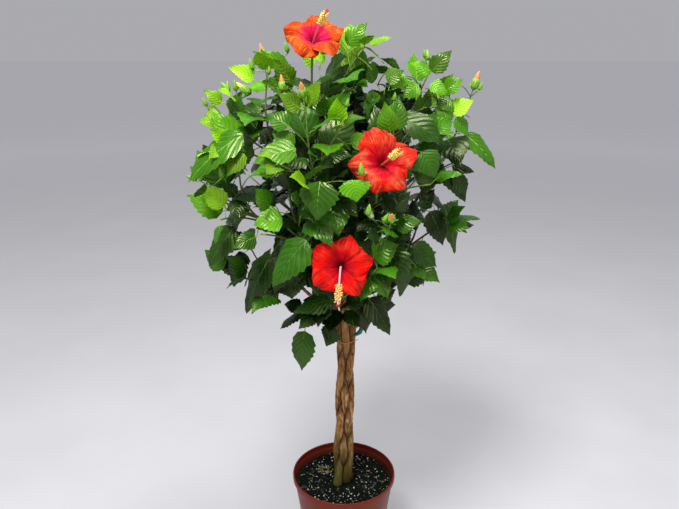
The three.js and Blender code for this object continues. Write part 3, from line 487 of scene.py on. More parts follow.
def petal_half_width(share, radius):
    spread = np.sin(np.pi * np.minimum(0.07 + share * 0.86, 1))
    return radius * FLOWER["petal_width_share"] * np.sqrt(spread)


def stalk_curve(bloom):
    throat, axis, _, _ = bloom_frame(bloom)
    calyx = throat - axis * (FLOWER["throat_depth"] + FLOWER["calyx_length"] - 4)
    knee = calyx - axis * FLOWER["stalk_back"]
    return Bend(knee - UP * FLOWER["stalk_drop"], knee, calyx)


def column_curve(bloom):
    throat, axis, _, _ = bloom_frame(bloom)
    start = throat - axis * (FLOWER["throat_depth"] + 2)
    knee = start + axis * FLOWER["throat_depth"]
    return Bend(start, knee, knee + unit(spot(bloom["column"])) * FLOWER["column_length"])


def clear_of_bloom(places, bloom):
    """Whether no place is within a bloom's petals, column or stalk, with room to spare."""
    throat, axis, _, _ = bloom_frame(bloom)
    offsets = places - throat
    level = offsets @ axis
    radial = np.sqrt(np.maximum((offsets**2).sum(1) - level**2, 0))
    margin = FLOWER["space_margin"]
    share = (radial - FLOWER["throat_radius"]) / (bloom["radius"] - FLOWER["throat_radius"])
    held = np.clip(share, 0, 1)
    petal = petal_height(held)
    in_front = FLOWER["column_length"] * 0.5 * (1 - held)
    reach = FLOWER["overlap_tilt"] + margin
    if ((share < 1.08) & (level > petal - reach) & (level < petal + reach + in_front)).any():
        return False
    for curve in (column_curve(bloom), stalk_curve(bloom)):
        points = np.array(curve.points(4))
        if (distances(places, points[:-1], points[1:]) < FLOWER["anther_radius"] + margin * 0.5).any():
            return False
    return True


# ---- The rule by which a mass of foliage grows ----

def lay_out_mass(mass):
    """A mass's own stem, from its carrier's tip to the hub, and its spine, which goes on from there
    to the mass's middle."""
    if mass["on"] in STEMS:
        stem = STEMS[mass["on"]]
        place, way, radius = stem_middle(stem, stem["tip"][2]), UP, LEADER_TIP_RADIUS
    else:
        curve = bough_curve(BOUGHS[mass["on"]])
        place, way, radius = curve.at(1), curve.way(1), BOUGH["tip_radius"]
    middle = spot(mass["middle"])
    start = place + way * CLEARANCE
    hub = mix(start, middle, SHOOT["hub_share"])
    stem = Bend(start, start + way * np.linalg.norm(hub - start) * 0.5, hub)
    spine = np.array([start, stem.at(0.5), hub, middle])
    return dict(radius=radius, middle=middle, hub=hub, stem=stem, spine=spine)


def inside_space(places, name, layouts):
    """Whether every place is nearer to this mass's spine than to any other's."""
    own = layouts[name]["spine"]
    limit = distances(places, own[:-1], own[1:]).min(1) + LEAF["space_margin"]
    others = [layout["spine"] for other, layout in layouts.items() if other != name]
    starts = np.concatenate([spine[:-1] for spine in others])
    ends = np.concatenate([spine[1:] for spine in others])
    return bool((distances(places, starts, ends).min(1) > limit).all())


def crown_share(places, reach=1.0):
    """How far out each place is in the crown's egg, from 0 at its heart to 1 at its skin."""
    offsets = places - CROWN["heart"]
    offsets[:, 0] -= CROWN["lean"] * np.minimum(offsets[:, 2], 0)
    across = np.hypot(offsets[:, 0] / CROWN["half_width"], offsets[:, 1] / CROWN["half_depth"]) / reach
    above = offsets[:, 2] > 0
    heights = np.where(above, CROWN["above"][0], CROWN["below"][0])
    roundness = np.where(above, CROWN["above"][1], CROWN["below"][1])
    return across**roundness + (abs(offsets[:, 2]) / heights / reach) ** roundness


def inside_crown(places, reach=1.0):
    """Whether every place is within the crown's egg, drawn larger or smaller by its reach."""
    return bool((crown_share(places, reach) < 1).all())


def blade_half_width(share):
    opening = np.sqrt(np.maximum(0, 1 - (1 - share / LEAF["wide_at"]) ** 2))
    closing = np.maximum(share - LEAF["wide_at"], 0) / (1 - LEAF["wide_at"])
    return np.where(share < LEAF["wide_at"], opening, np.cos(math.pi / 2 * closing**1.25))


def blade_frames(leaf, shares):
    """Middle, way, side and lift of a blade at each share of its midrib."""
    shares = np.asarray(shares, float)[:, None]
    start, knee, end = leaf["neck"], leaf["bend"], leaf["tip"]
    rest = 1 - shares
    middles = rest * rest * start + 2 * rest * shares * knee + shares * shares * end
    ways = rest * (knee - start) + shares * (end - knee)
    ways /= np.linalg.norm(ways, axis=1, keepdims=True)
    lifts = leaf["normal"] - ways * (ways @ leaf["normal"])[:, None]
    lifts /= np.linalg.norm(lifts, axis=1, keepdims=True)
    return middles, ways, np.cross(lifts, ways), lifts


TESTED_ROWS = np.arange(11) / 10
TESTED_COLUMNS = np.arange(-3, 4) / 3
STALK_SHARES = np.array([0.25, 0.4, 0.55, 0.7, 0.85, 1])[:, None]


def add_places(leaf):
    """Places all over a blade, under its keel and along its stalk."""
    middles, _, sides, lifts = blade_frames(leaf, TESTED_ROWS)
    half = blade_half_width(TESTED_ROWS) * leaf["width"] / 2
    spread = sides[:, None] * (half[:, None] * TESTED_COLUMNS)[..., None]
    keel = middles[:8] - lifts[:8] * leaf["length"] * LEAF["keel_share"]
    leaf["places"] = np.concatenate([(middles[:, None] + spread).reshape(-1, 3), keel])
    leaf["stalk"] = mix(leaf["root"], leaf["neck"], STALK_SHARES)
    leaf["middle"] = middles[5]


def shape_leaf(root, axis, lean, turn, length, droop, roll, sag):
    """One leaf, held out from its shoot by its stalk, with its blade hanging by its age."""
    stalk_way = tipped(axis, lean, turn)
    neck = root + stalk_way * length * LEAF["petiole_share"]
    from_trunk = unit(neck * [1, 1, 0])
    blade_way = unit(stalk_way + from_trunk * LEAF["outwards"] - UP * droop)
    tip_way = unit(blade_way - UP * sag)
    bend = neck + blade_way * length * 0.5
    tip = bend + tip_way * length * 0.5
    chord = unit(tip - neck)
    from_trunk_pull, side_pull, up_pull = LEAF["facing"]
    normal = np.array([0, -side_pull if neck[1] < 20 else side_pull, up_pull])
    normal = unit(normal + from_trunk * from_trunk_pull)
    normal = unit(normal - chord * (normal @ chord))
    normal = normal * math.cos(roll) + np.cross(chord, normal) * math.sin(roll)
    return dict(root=root, neck=neck, bend=bend, tip=tip, normal=normal, length=length,
                width=length * LEAF["width_share"])


def near_any(places, others, gap):
    return bool((((places[:, None] - others) ** 2).sum(2) < gap * gap).any())


def crowds(leaf, other):
    """Whether two leaves come too close anywhere, blade to blade or stalk to blade."""
    apart = np.linalg.norm(leaf["middle"] - other["middle"])
    if apart > 0.9 * (leaf["length"] + other["length"]):
        return False
    return (
        near_any(leaf["places"], other["places"], LEAF["leaf_gap"])
        or near_any(leaf["stalk"], other["places"], LEAF["stalk_gap"])
        or near_any(leaf["places"], other["stalk"], LEAF["stalk_gap"])
        or near_any(leaf["stalk"], other["stalk"], LEAF["stalk_gap"])
    )


def grow_leaves(shoot, random, mass, is_free, grown):
    curve, plan = shoot["curve"], shoot["plan"]
    inner, hangs = plan.get("inner"), plan.get("hangs")
    leaves = plan.get("leaves", SHOOT["leaves"])
    start_turn = random() * 2 * math.pi
    for i in range(leaves):
        age = i / (leaves - 1) if leaves > 1 else 0
        share = 0.98 if hangs else mix(SHOOT["first_leaf"], 0.98, age**0.85)
        size_draw, droop_draw, roll_draw, sag_draw, turn_draw = (random() for _ in range(5))
        young = age**1.6
        full_size = mix(LEAF["longest"], LEAF["shortest"], young)
        if inner or hangs:
            full_size = 0.76 * LEAF["longest"] * plan.get("size", 1)
        size = full_size * (0.84 + 0.32 * size_draw) * (1 - 0.28 * mass["light"])
        droop = (2 if hangs else mix(1.25, 0.3, age) - 0.65 * mass["light"]) + 0.4 * (droop_draw - 0.5)
        sag = 0.7 * sag_draw * (1 - 0.6 * age)
        root = on_limb(curve, share, SHOOT["stem_steps"] if inner else SHOOT["steps"])
        for attempt in range(LEAF["turns"]):
            turn = start_turn + i * GOLDEN_ANGLE + 0.5 * turn_draw + attempt * 1.07
            length = size * (1 - 0.035 * attempt)
            roll = LEAF["roll_span"] * (roll_draw - 0.5) * (-1 if attempt % 2 else 1)
            lean = 0.2 if hangs else LEAF["petiole_lean"]
            leaf = shape_leaf(root, curve.way(share), lean, turn, length, droop, roll, sag)
            add_places(leaf)
            if not is_free(leaf["places"]) or not is_free(leaf["stalk"]):
                continue
            if not grown["twigs"].clear(leaf["places"], LEAF["twig_margin"]):
                continue
            if any(crowds(leaf, other) for other in grown["leaves"]):
                continue
            # the tone follows the mass's light, so it is partly the leaf's age and partly painted light and
            # shade
            leaf["tone"] = clamp(mass["light"] * (0.55 + 0.6 * young) + 0.25 * (size_draw - 0.5))
            grown["leaves"].append(leaf)
            break


def grow_bud(random, curve, is_free, grown):
    root, axis = on_limb(curve, 0.96, SHOOT["steps"]), curve.way(1)
    size = 0.7 + 0.5 * random()
    turn = random() * 2 * math.pi
    way = unit(tipped(axis, 0.35 + 0.35 * random(), turn) + UP * 0.3)
    neck = root + way * BUD["stalk"] * size
    end = neck + way * BUD["length"] * size
    places = mix(root, end, np.array([0.3, 0.45, 0.6, 0.75, 0.9, 1])[:, None])
    others = grown["leaves"] + grown["buds"]
    if not any(near_any(places, other["places"], BUD["gap"]) for other in others) and is_free(places):
        grown["buds"].append(dict(root=root, neck=neck, end=end, size=size, places=places))


def grow_mass(name, layouts, limbs):
    """A mass: its own stem from the carrier's tip, shoots that leave it in turn, and their leaves."""
    mass, layout = MASSES[name], layouts[name]
    random = seeded_random(mass["seed"])
    middle, hub, stem = layout["middle"], layout["hub"], layout["stem"]
    axis = unit(unit(middle - CROWN["heart"]) + UP * SHOOT["light_pull"])

    def is_free(places):
        return (
            limbs.clear(places, LEAF["limb_margin"])
            and all(clear_of_bloom(places, bloom) for bloom in BLOOMS.values())
            and inside_space(places, name, layouts)
        )

    def is_free_in_crown(places):
        return inside_crown(places) and is_free(places)

    def is_free_further_out(places):
        return inside_crown(places, CROWN["outreach"]) and is_free(places)

    grown = dict(stem=stem, radius=layout["radius"], shoots=[], twigs=Stretches(), leaves=[], buds=[])
    inner = dict(curve=stem, plan=dict(leaves=SHOOT["inner_leaves"], inner=True))
    for bloom in BLOOMS.values():
        if bloom["mass"] != name:
            continue
        stalk = stalk_curve(bloom)
        foot = stalk.at(0) - stalk.way(0) * CLEARANCE
        knee = foot - stalk.way(0) * np.linalg.norm(foot - hub) * 0.4
        plan = dict(tip_radius=FLOWER["stalk_radius"], leaves=6)
        grown["shoots"].append(dict(curve=Bend(hub, knee, foot), plan=plan))
    standouts = [spot(tip) for tip in mass.get("standouts", [])]
    for i in range(SHOOT["count"]):
        tilt = SHOOT["spread"] * math.sqrt((i + 0.35) / SHOOT["count"])
        way = tipped(axis, tilt, i * GOLDEN_ANGLE + random() * 1.2)
        foot = on_limb(stem, 1 - 0.7 * i / SHOOT["count"], SHOOT["stem_steps"])
        reach = mass["reach"] * (0.8 + 0.35 * random())
        plan = dict(budded=True, stands_out=i < len(standouts))
        tips = [middle + way * reach * share for share in (1, 0.8, 0.6)]
        if plan["stands_out"]:
            tips.insert(0, standouts[i])
        for tip in tips:
            knee = foot + stem.way(1) * np.linalg.norm(tip - foot) * 0.45
            curve = Bend(foot, knee, tip)
            if is_free(np.array([curve.at(share) for share in SHOOT["tested_shares"]])):
                grown["shoots"].append(dict(curve=curve, plan=plan))
                break
    for i, straggler in enumerate(mass.get("stragglers", [])):
        foot = on_limb(stem, 0.6 - 0.3 * i, SHOOT["stem_steps"])
        tip = spot(straggler["tip"])
        knee = np.array([tip[0], tip[1], foot[2]])
        plan = dict(hangs=True, leaves=1, size=straggler["size"])
        grown["shoots"].append(dict(curve=Bend(foot, knee, tip), plan=plan))
    for shoot in [inner, *grown["shoots"]]:
        grown["twigs"].add(shoot["curve"].points(SHOOT["steps"]), [SHOOT["radius"]] * SHOOT["steps"])
    for shoot in [*grown["shoots"], inner]:
        plan = shoot["plan"]
        is_open = is_free_further_out if plan.get("stands_out") else is_free_in_crown
        grow_leaves(shoot, random, mass, is_free if plan.get("hangs") else is_open, grown)
        if not plan.get("budded"):
            continue
        chances = (1, 1, 0.5, 0.5) if plan["stands_out"] else (0.8 * mass["light"], 0.3 * mass["light"])
        for chance in chances:
            if random() < chance:
                grow_bud(random, shoot["curve"], is_free_further_out, grown)
    return grown


# ---- Finer growth, by the same rule, on the shoots ----

COARSE_ROWS = np.array([0.08, 0.3, 0.5, 0.7, 0.9, 1.0])
COARSE_COLUMNS = np.array([-0.85, 0, 0.85])


def coarse_places(leaf):
    middles, _, sides, _ = blade_frames(leaf, COARSE_ROWS)
    half = blade_half_width(COARSE_ROWS) * leaf["width"] / 2
    spread = sides[:, None] * (half[:, None] * COARSE_COLUMNS)[..., None]
    return (middles[:, None] + spread).reshape(-1, 3)


class Crowd:
    """Everything that has grown in the crown, for new leaves and twigs to keep clear of."""

    def __init__(self):
        self.middles, self.reaches, self.places = [], [], []

    def add(self, places):
        middle = places.mean(0)
        self.middles.append(middle)
        self.reaches.append(np.linalg.norm(places - middle, axis=1).max())
        self.places.append(places)

    def clear(self, places, gap):
        middle = places.mean(0)
        reach = np.linalg.norm(places - middle, axis=1).max()
        apart = np.linalg.norm(np.array(self.middles) - middle, axis=1)
        near = np.nonzero(apart < np.array(self.reaches) + reach + gap)[0]
        if not len(near):
            return True
        return not near_any(places, np.concatenate([self.places[i] for i in near]), gap)


def keeps_sky(places):
    """Whether no place lies on a sight line through one of the crown's openings."""
    eye = spot(CAMERA["place"])
    seen = eye + (places - eye) * (eye[1] / (eye[1] - places[:, 1]))[:, None]
    apart = np.linalg.norm(seen[:, None, [0, 2]] - OPENINGS[:, :2], axis=2)
    return not (apart < OPENINGS[:, 2]).any()


def inside_reach(places):
    return bool(((places > REACH_LOW + 1) & (places < REACH_HIGH - 1)).all())


def carrier_near(place, masses):
    """The nearest place on any shoot or mass's stem, and the mass that it belongs to."""
    best = None
    for grown in masses.values():
        carriers = [shoot["curve"] for shoot in grown["shoots"] if not shoot["plan"].get("hangs")]
        for curve in [*carriers, grown["stem"]]:
            for share in FRONT["tried_shares"]:
                apart = np.linalg.norm(curve.at(share) - place)
                if best is None or apart < best[0]:
                    best = apart, curve.at(share), grown
    return best[1:]


def twig_towards(neck, stalk, masses):
    """A twig from the nearest shoot, short of a neck by the length of its stalk. Gives the place
    where the stalk starts and the mass."""
    root, grown = carrier_near(neck, masses)
    apart = np.linalg.norm(neck - root)
    if apart < 1.4 * stalk:
        return root, grown
    joint = neck + unit(root - neck) * stalk
    knee = mix(root, joint, 0.5) + UP * 0.14 * apart
    grown.setdefault("side_twigs", []).append(Bend(root, knee, joint))
    return joint, grown


def grow_front(masses):
    """The leaves, buds and clusters that are placed one by one. The rule's leaves that are in their
    way, or in front of the sky, are dropped."""
    placed = []
    for neck, tip, width, tone in FRONT_LEAVES:
        neck, tip = spot(neck), spot(tip)
        length = np.linalg.norm(tip - neck)
        root, grown = twig_towards(neck, LEAF["petiole_share"] * length, masses)
        chord = (tip - neck) / length
        normal = spot(FRONT["facing"]) * [np.sign(neck[0]), 1, 1]
        normal = unit(normal - chord * (normal @ chord))
        bend = mix(neck, tip, 0.5) + normal * length * FRONT["arch"]
        leaf = dict(root=root, neck=neck, bend=bend, tip=tip, normal=normal, length=length, width=width,
                    tone=tone, placed=True)
        placed.append((leaf, grown))
    for foot, end in FRONT_BUDS:
        foot, end = spot(foot), spot(end)
        root, grown = twig_towards(foot, BUD["stalk"] * 0.7, masses)
        size = clamp(np.linalg.norm(end - foot) / BUD["length"], 0.55, 1.25)
        bud = dict(root=root, neck=foot, end=end, size=size, places=np.array([mix(foot, end, 0.5), end]))
        grown["buds"].append(bud)
    places = np.concatenate([coarse_places(leaf) for leaf, _ in placed])
    for grown in masses.values():
        grown["leaves"] = [leaf for leaf in grown["leaves"] if keeps_sky(coarse_places(leaf))
                           and not near_any(coarse_places(leaf), places, FRONT["gap"])]
    for leaf, grown in placed:
        grown["leaves"].append(leaf)
    grow_rosettes(masses)


def seat_stalks(masses):
    """Every stalk starts on the drawn line of its twig, and each shoot is drawn to its last stalk."""
    shares = np.arange(21) / 20
    for grown in masses.values():
        shoots = grown["shoots"]
        drawn = np.array([[shoot["curve"].at(share) for share in shares] for shoot in shoots])
        for shoot in shoots:
            shoot["drawn_to"] = 1 if "tip_radius" in shoot["plan"] else 0.1
        for thing in [*grown["leaves"], *grown["buds"], *grown.get("side_twigs", [])]:
            root = thing.start if isinstance(thing, Bend) else thing["root"]
            apart = np.linalg.norm(drawn - root, axis=2)
            which, place = np.unravel_index(apart.argmin(), apart.shape)
            if apart[which, place] > SEAT_REACH:
                continue
            shoots[which]["drawn_to"] = max(shoots[which]["drawn_to"], shares[place])
            if isinstance(thing, Bend):
                thing.start = drawn[which, place]
            else:
                thing["root"] = drawn[which, place]


def grow_rosettes(masses):
    random = seeded_random(SEEDS["rosettes"])
    for place, count in ROSETTES:
        place = spot(place)
        root, grown = twig_towards(place, 0, masses)
        axis = unit(unit(place - root) + UP)
        start_turn = 2 * math.pi * random()
        for i in range(count):
            lean = mix(*ROSETTE["lean"], i / (count - 1))
            length = mix(*ROSETTE["sizes"], 0.5 * random() + 0.5 * i / count)
            turn = start_turn + i * GOLDEN_ANGLE
            leaf = shape_leaf(place, axis, lean, turn, length, 0.3 * random(), random() - 0.5, 0.4)
            leaf.update(tone=mix(*ROSETTE["tone"], random()), placed=True)
            if inside_reach(coarse_places(leaf)):
                grown["leaves"].append(leaf)


def grow_finer(masses, limbs):
    """Side twigs on every shoot, with smaller leaves, wherever the crown still has room."""
    crowd = Crowd()
    for grown in masses.values():
        for leaf in grown["leaves"]:
            crowd.add(coarse_places(leaf))
        for bud in grown["buds"]:
            crowd.add(bud["places"])

    def is_open(places, within=FINER["within"]):
        return (
            inside_crown(places, within)
            and inside_reach(places)
            and keeps_sky(places)
            and limbs.clear(places, FINER["margin"])
            and all(clear_of_bloom(places, bloom) for bloom in BLOOMS.values())
        )

    for name, grown in masses.items():
        random = seeded_random(MASSES[name]["seed"] + 7)
        for shoot in grown["shoots"]:
            if shoot["plan"].get("budded"):
                grow_tip_leaves(shoot["curve"], MASSES[name], random, is_open, crowd, grown)
    for round_of in range(FINER["rounds"]):
        for name, grown in masses.items():
            mass = MASSES[name]
            random = seeded_random(mass["seed"] + 97 * (round_of + 1))
            carriers = [shoot["curve"] for shoot in grown["shoots"] if not shoot["plan"].get("hangs")]
            for curve in [*carriers, grown["stem"]]:
                for foot_share in FINER["feet"]:
                    grow_side_twig(curve, foot_share, mass, random, is_open, crowd, grown)


def grow_tip_leaves(curve, mass, random, is_open, crowd, grown):
    """The youngest leaves, small and upright, round the tip of a shoot."""
    start_turn = 2 * math.pi * random()
    for i in range(TIP_LEAVES["count"]):
        length = mix(*TIP_LEAVES["sizes"], random())
        droop, roll = 0.5 * random() - 0.35, 1.6 * (random() - 0.5)
        for attempt in range(TIP_LEAVES["turns"]):
            turn = start_turn + i * GOLDEN_ANGLE + attempt * 1.3
            leaf = shape_leaf(curve.at(0.98), curve.way(1), TIP_LEAVES["lean"], turn, length, droop, roll,
                              TIP_LEAVES["sag"])
            places = coarse_places(leaf)
            if is_open(places, TIP_LEAVES["within"]) and crowd.clear(places, TIP_LEAVES["gap"]):
                # the tone follows the mass's light, so it is partly the leaf's age and partly painted light
                # and shade
                leaf["tone"] = clamp(mass["light"] * 1.15 + 0.1)
                grown["leaves"].append(leaf)
                crowd.add(places)
                break


def grow_side_twig(curve, foot_share, mass, random, is_open, crowd, grown):
    steps = SHOOT["stem_steps"] if curve is grown["stem"] else SHOOT["steps"]
    share = clamp(foot_share - 0.18 * random())
    root, axis = on_limb(curve, share, steps), curve.way(share)
    reach = mix(*FINER["reach"], random())
    turn = 2 * math.pi * random()
    way = unit(tipped(axis, FINER["lean"], turn) + UP * 0.5 * mass["light"])
    knee = root + unit(way + axis) * reach * 0.5
    twig = Bend(root, knee, root + way * reach)
    tested = np.array([twig.at(place) for place in (0.35, 0.6, 0.8, 1)])
    if not is_open(tested) or not crowd.clear(tested, FINER["twig_gap"]):
        twig = Bend(root, root + axis * 2, root + axis * 4)
        reach = 0
    leaves = []
    start_turn = 2 * math.pi * random()
    count = FINER["leaves"] if reach else 1
    for i in range(count):
        age = i / (count - 1) if count > 1 else 0
        place_share = mix(0.25, 1, age)
        size_draw, droop_draw, roll_draw, sag_draw = (random() for _ in range(4))
        full_size = mix(FINER["longest"], FINER["shortest"], age)
        size = full_size * (0.8 + 0.4 * size_draw) * (1 - 0.22 * mass["light"])
        droop = mix(1.25, 0.3, age) - 0.65 * mass["light"] + 0.4 * (droop_draw - 0.5)
        for attempt in range(FINER["turns"]):
            leaf_turn = start_turn + i * GOLDEN_ANGLE + attempt * 1.07
            length = size * (1 - 0.05 * attempt)
            roll = LEAF["roll_span"] * (roll_draw - 0.5) * (-1 if attempt % 2 else 1)
            leaf = shape_leaf(twig.at(place_share), twig.way(place_share), LEAF["petiole_lean"], leaf_turn,
                              length, droop, roll, 0.6 * sag_draw)
            places = coarse_places(leaf)
            if not is_open(places) or not crowd.clear(places, FINER["gap"]):
                continue
            # the tone follows the mass's light, so it is partly the leaf's age and partly painted light and
            # shade
            leaf["tone"] = clamp(mass["light"] * (0.6 + 0.5 * age) + 0.25 * (size_draw - 0.5))
            leaves.append(leaf)
            crowd.add(places)
            break
    grown["leaves"] += leaves
    if reach and leaves:
        crowd.add(tested)
        grown.setdefault("side_twigs", []).append(twig)


# ---- Meshes ----

class Joined:
    """Many small shapes gathered into one mesh."""

    def __init__(self):
        self.points, self.faces, self.places, self.tints, self.count = [], [], [], [], 0

    def add(self, points, faces, places=None, tint=0.5):
        count = self.count
        self.points.append(np.asarray(points, float))
        self.faces.extend([tuple(corner + count for corner in face) for face in faces])
        self.places.append(np.zeros((len(points), 2)) if places is None else places)
        self.tints.append(np.full(len(points), tint))
        self.count += len(points)

    def piece(self, name, finish, slot):
        mesh = bpy.data.meshes.new(name)
        held = np.clip(np.concatenate(self.points), REACH_LOW, REACH_HIGH)
        mesh.from_pydata((held * MM).tolist(), [], self.faces)
        corners = np.zeros(len(mesh.loops), np.int32)
        mesh.loops.foreach_get("vertex_index", corners)
        layer = mesh.uv_layers.new(name="surface")
        layer.data.foreach_set("uv", np.concatenate(self.places)[corners].astype(np.float32).ravel())
        tint = mesh.attributes.new("tint", "FLOAT", "POINT")
        tint.data.foreach_set("value", np.concatenate(self.tints).astype(np.float32))
        mesh.shade_smooth()
        mesh.materials.append(finish)
        made = bpy.data.objects.new(name, mesh)
        bpy.context.collection.objects.link(made)
        return dressed(made, slot)


def dressed(piece, slot):
    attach(piece, "root")
    return piece


def tube(path, radii, sides):
    """Points and faces of a round limb along a path, closed at both ends."""
    path = np.asarray(path, float)
    ways = np.gradient(path, axis=0)
    ways /= np.linalg.norm(ways, axis=1, keepdims=True)
    reference = side_of(unit(path[-1] - path[0]))
    lifts = np.cross(reference, ways)
    lifts /= np.linalg.norm(lifts, axis=1, keepdims=True)
    side = np.cross(ways, lifts)
    turns = np.arange(sides) * 2 * math.pi / sides
    spokes = side[:, None] * np.cos(turns)[:, None] + lifts[:, None] * np.sin(turns)[:, None]
    rings = path[:, None] + spokes * np.asarray(radii, float)[:, None, None]
    points = np.concatenate([rings.reshape(-1, 3), path[:1], path[-1:]])
    last, foot, tip = (len(path) - 1) * sides, len(path) * sides, len(path) * sides + 1
    faces = []
    for j in range(sides):
        after = (j + 1) % sides
        for i in range(len(path) - 1):
            low, high = i * sides, (i + 1) * sides
            faces.append((low + j, low + after, high + after, high + j))
        faces.append((foot, after, j))
        faces.append((tip, last + j, last + after))
    return points, faces


def select_only(piece):
    bpy.ops.object.select_all(action="DESELECT")
    piece.select_set(True)
    bpy.context.view_layer.objects.active = piece


def apply_modifier(piece, kind, **settings):
    select_only(piece)
    modifier = piece.modifiers.new(kind.lower(), kind)
    for key, value in settings.items():
        setattr(modifier, key, value)
    bpy.ops.object.modifier_apply(modifier=modifier.name)


def settle(piece, name, finish, smooth_angle=None):
    """A finished piece: its place in its mesh, its name, its finish and smooth shading."""
    select_only(piece)
    bpy.ops.object.transform_apply(location=True, rotation=True, scale=True)
    if smooth_angle is None:
        bpy.ops.object.shade_smooth()
    else:
        bpy.ops.object.shade_smooth_by_angle(angle=math.radians(smooth_angle))
    piece.name = piece.data.name = name
    piece.data.materials.clear()
    piece.data.materials.append(finish)
    return piece


def points_of(piece):
    places = np.zeros(len(piece.data.vertices) * 3, np.float32)
    piece.data.vertices.foreach_get("co", places)
    return places.reshape(-1, 3).astype(float) / MM


def move_points(piece, places):
    piece.data.vertices.foreach_set("co", (places * MM).astype(np.float32).ravel())
    piece.data.update()


# ---- Finishes ----

def colour(hexed):
    """A paint colour, as light."""
    parts = [int(hexed[i : i + 2], 16) / 255 for i in (1, 3, 5)]
    light = [part / 12.92 if part <= 0.04045 else ((part + 0.055) / 1.055) ** 2.4 for part in parts]
    return (*light, 1.0)


class Finish:
    """A material that is built up node by node."""

    def __init__(self, name, roughness, **shader):
        self.material = bpy.data.materials.new(name)
        self.material.use_nodes = True
        self.nodes = self.material.node_tree.nodes
        self.shader = self.nodes["Principled BSDF"]
        self.shader.inputs["Roughness"].default_value = roughness
        for socket, value in shader.items():
            self.shader.inputs[socket.replace("_", " ").title()].default_value = value

    def plug(self, socket, value):
        if isinstance(value, bpy.types.NodeSocket):
            self.material.node_tree.links.new(value, socket)
        else:
            socket.default_value = value

    def math(self, operation, *values):
        made = self.nodes.new("ShaderNodeMath")
        made.operation = operation
        for socket, value in zip(made.inputs, values):
            self.plug(socket, value)
        return made.outputs[0]

    def remap(self, value, low, high, to_low=0.0, to_high=1.0):
        made = self.nodes.new("ShaderNodeMapRange")
        for socket, given in zip(made.inputs, (value, low, high, to_low, to_high)):
            self.plug(socket, given)
        return made.outputs[0]

    def blend(self, share, first, second, way="MIX"):
        made = self.nodes.new("ShaderNodeMix")
        made.data_type = "RGBA"
        made.blend_type = way
        for index, given in ((0, share), (6, first), (7, second)):
            self.plug(made.inputs[index], colour(given) if isinstance(given, str) else given)
        return made.outputs[2]

    def ramp(self, value, stops):
        made = self.nodes.new("ShaderNodeValToRGB")
        self.plug(made.inputs[0], value)
        for _ in stops[2:]:
            made.color_ramp.elements.new(0.5)
        for element, (place, hexed) in zip(made.color_ramp.elements, stops):
            element.position = place
            element.color = colour(hexed)
        return made.outputs[0]

    def object_place(self, scale=(1, 1, 1)):
        place = self.nodes.new("ShaderNodeTexCoord").outputs["Object"]
        return self.stretch(place, scale)

    def surface_place(self, scale=(1, 1, 1)):
        return self.stretch(self.nodes.new("ShaderNodeTexCoord").outputs["UV"], scale)

    def stretch(self, place, scale):
        made = self.nodes.new("ShaderNodeMapping")
        self.plug(made.inputs["Vector"], place)
        made.inputs["Scale"].default_value = scale
        return made.outputs[0]

    def parts(self, place):
        made = self.nodes.new("ShaderNodeSeparateXYZ")
        self.plug(made.inputs[0], place)
        return made.outputs

    def from_axis(self):
        """How far out from the upright axis a place is, and how high up."""
        x, y, up = self.parts(self.object_place())
        squares = self.math("ADD", self.math("MULTIPLY", x, x), self.math("MULTIPLY", y, y))
        return self.math("POWER", squares, 0.5), up

    def attribute(self, name):
        made = self.nodes.new("ShaderNodeAttribute")
        made.attribute_name = name
        return made.outputs["Fac"]

    def noise(self, place, scale, detail=3.0, roughness=0.55):
        made = self.nodes.new("ShaderNodeTexNoise")
        self.plug(made.inputs["Vector"], place)
        for socket, value in (("Scale", scale), ("Detail", detail), ("Roughness", roughness)):
            made.inputs[socket].default_value = value
        return made.outputs[0]

    def cells(self, place, scale):
        made = self.nodes.new("ShaderNodeTexVoronoi")
        self.plug(made.inputs["Vector"], place)
        made.inputs["Scale"].default_value = scale
        return made.outputs["Distance"]

    def done(self, base, height=None, depth=0.5, strength=0.4, roughness=None):
        """The colour, relief in millimetres of depth, and roughness go to the shader."""
        self.plug(self.shader.inputs["Base Color"], base)
        if roughness is not None:
            self.plug(self.shader.inputs["Roughness"], roughness)
        if height is not None:
            bump = self.nodes.new("ShaderNodeBump")
            bump.inputs["Strength"].default_value = strength
            bump.inputs["Distance"].default_value = depth * MM
            self.plug(bump.inputs["Height"], height)
            self.plug(self.shader.inputs["Normal"], bump.outputs[0])
        return self.material


def leaf_finish(name, tone):
    """A glossy blade that domes between veins running forward from the midrib to the teeth."""
    made = Finish(name, tone["roughness"])
    made.shader.inputs["Specular Tint"].default_value = LEAF_GLINT
    across, length, _ = made.parts(made.surface_place())
    from_midrib = made.math("ABSOLUTE", made.math("SUBTRACT", across, 0.5))
    slanted = made.math("SUBTRACT", length, made.math("MULTIPLY", from_midrib, 0.8))
    dome = made.math("PINGPONG", made.math("ADD", slanted, 1), 1 / 14)
    vein = made.remap(dome, 0.002, 0.012, 1, 0)
    mottle = made.noise(made.object_place(), 55)
    fine = made.noise(made.object_place(), 420)
    dark = made.blend(made.remap(mottle, 0.35, 0.7), tone["blade"], tone["vein"])
    base = made.blend(0.22, tone["blade"], dark)
    base = made.blend(made.math("MULTIPLY", vein, 0.5), base, tone["vein"])
    shift = made.remap(made.attribute("tint"), 0, 1, 0.34, 1.5)
    grey = made.nodes.new("ShaderNodeCombineColor")
    for socket in grey.inputs:
        made.plug(socket, shift)
    base = made.blend(1.0, base, grey.outputs[0], "MULTIPLY")
    height = made.math("ADD", made.math("MULTIPLY", dome, 9), made.math("MULTIPLY", fine, 0.2))
    rough = made.remap(mottle, 0.3, 0.7, tone["roughness"] - 0.06, tone["roughness"] + 0.08)
    return made.done(base, height, depth=1.4, strength=0.6, roughness=rough)


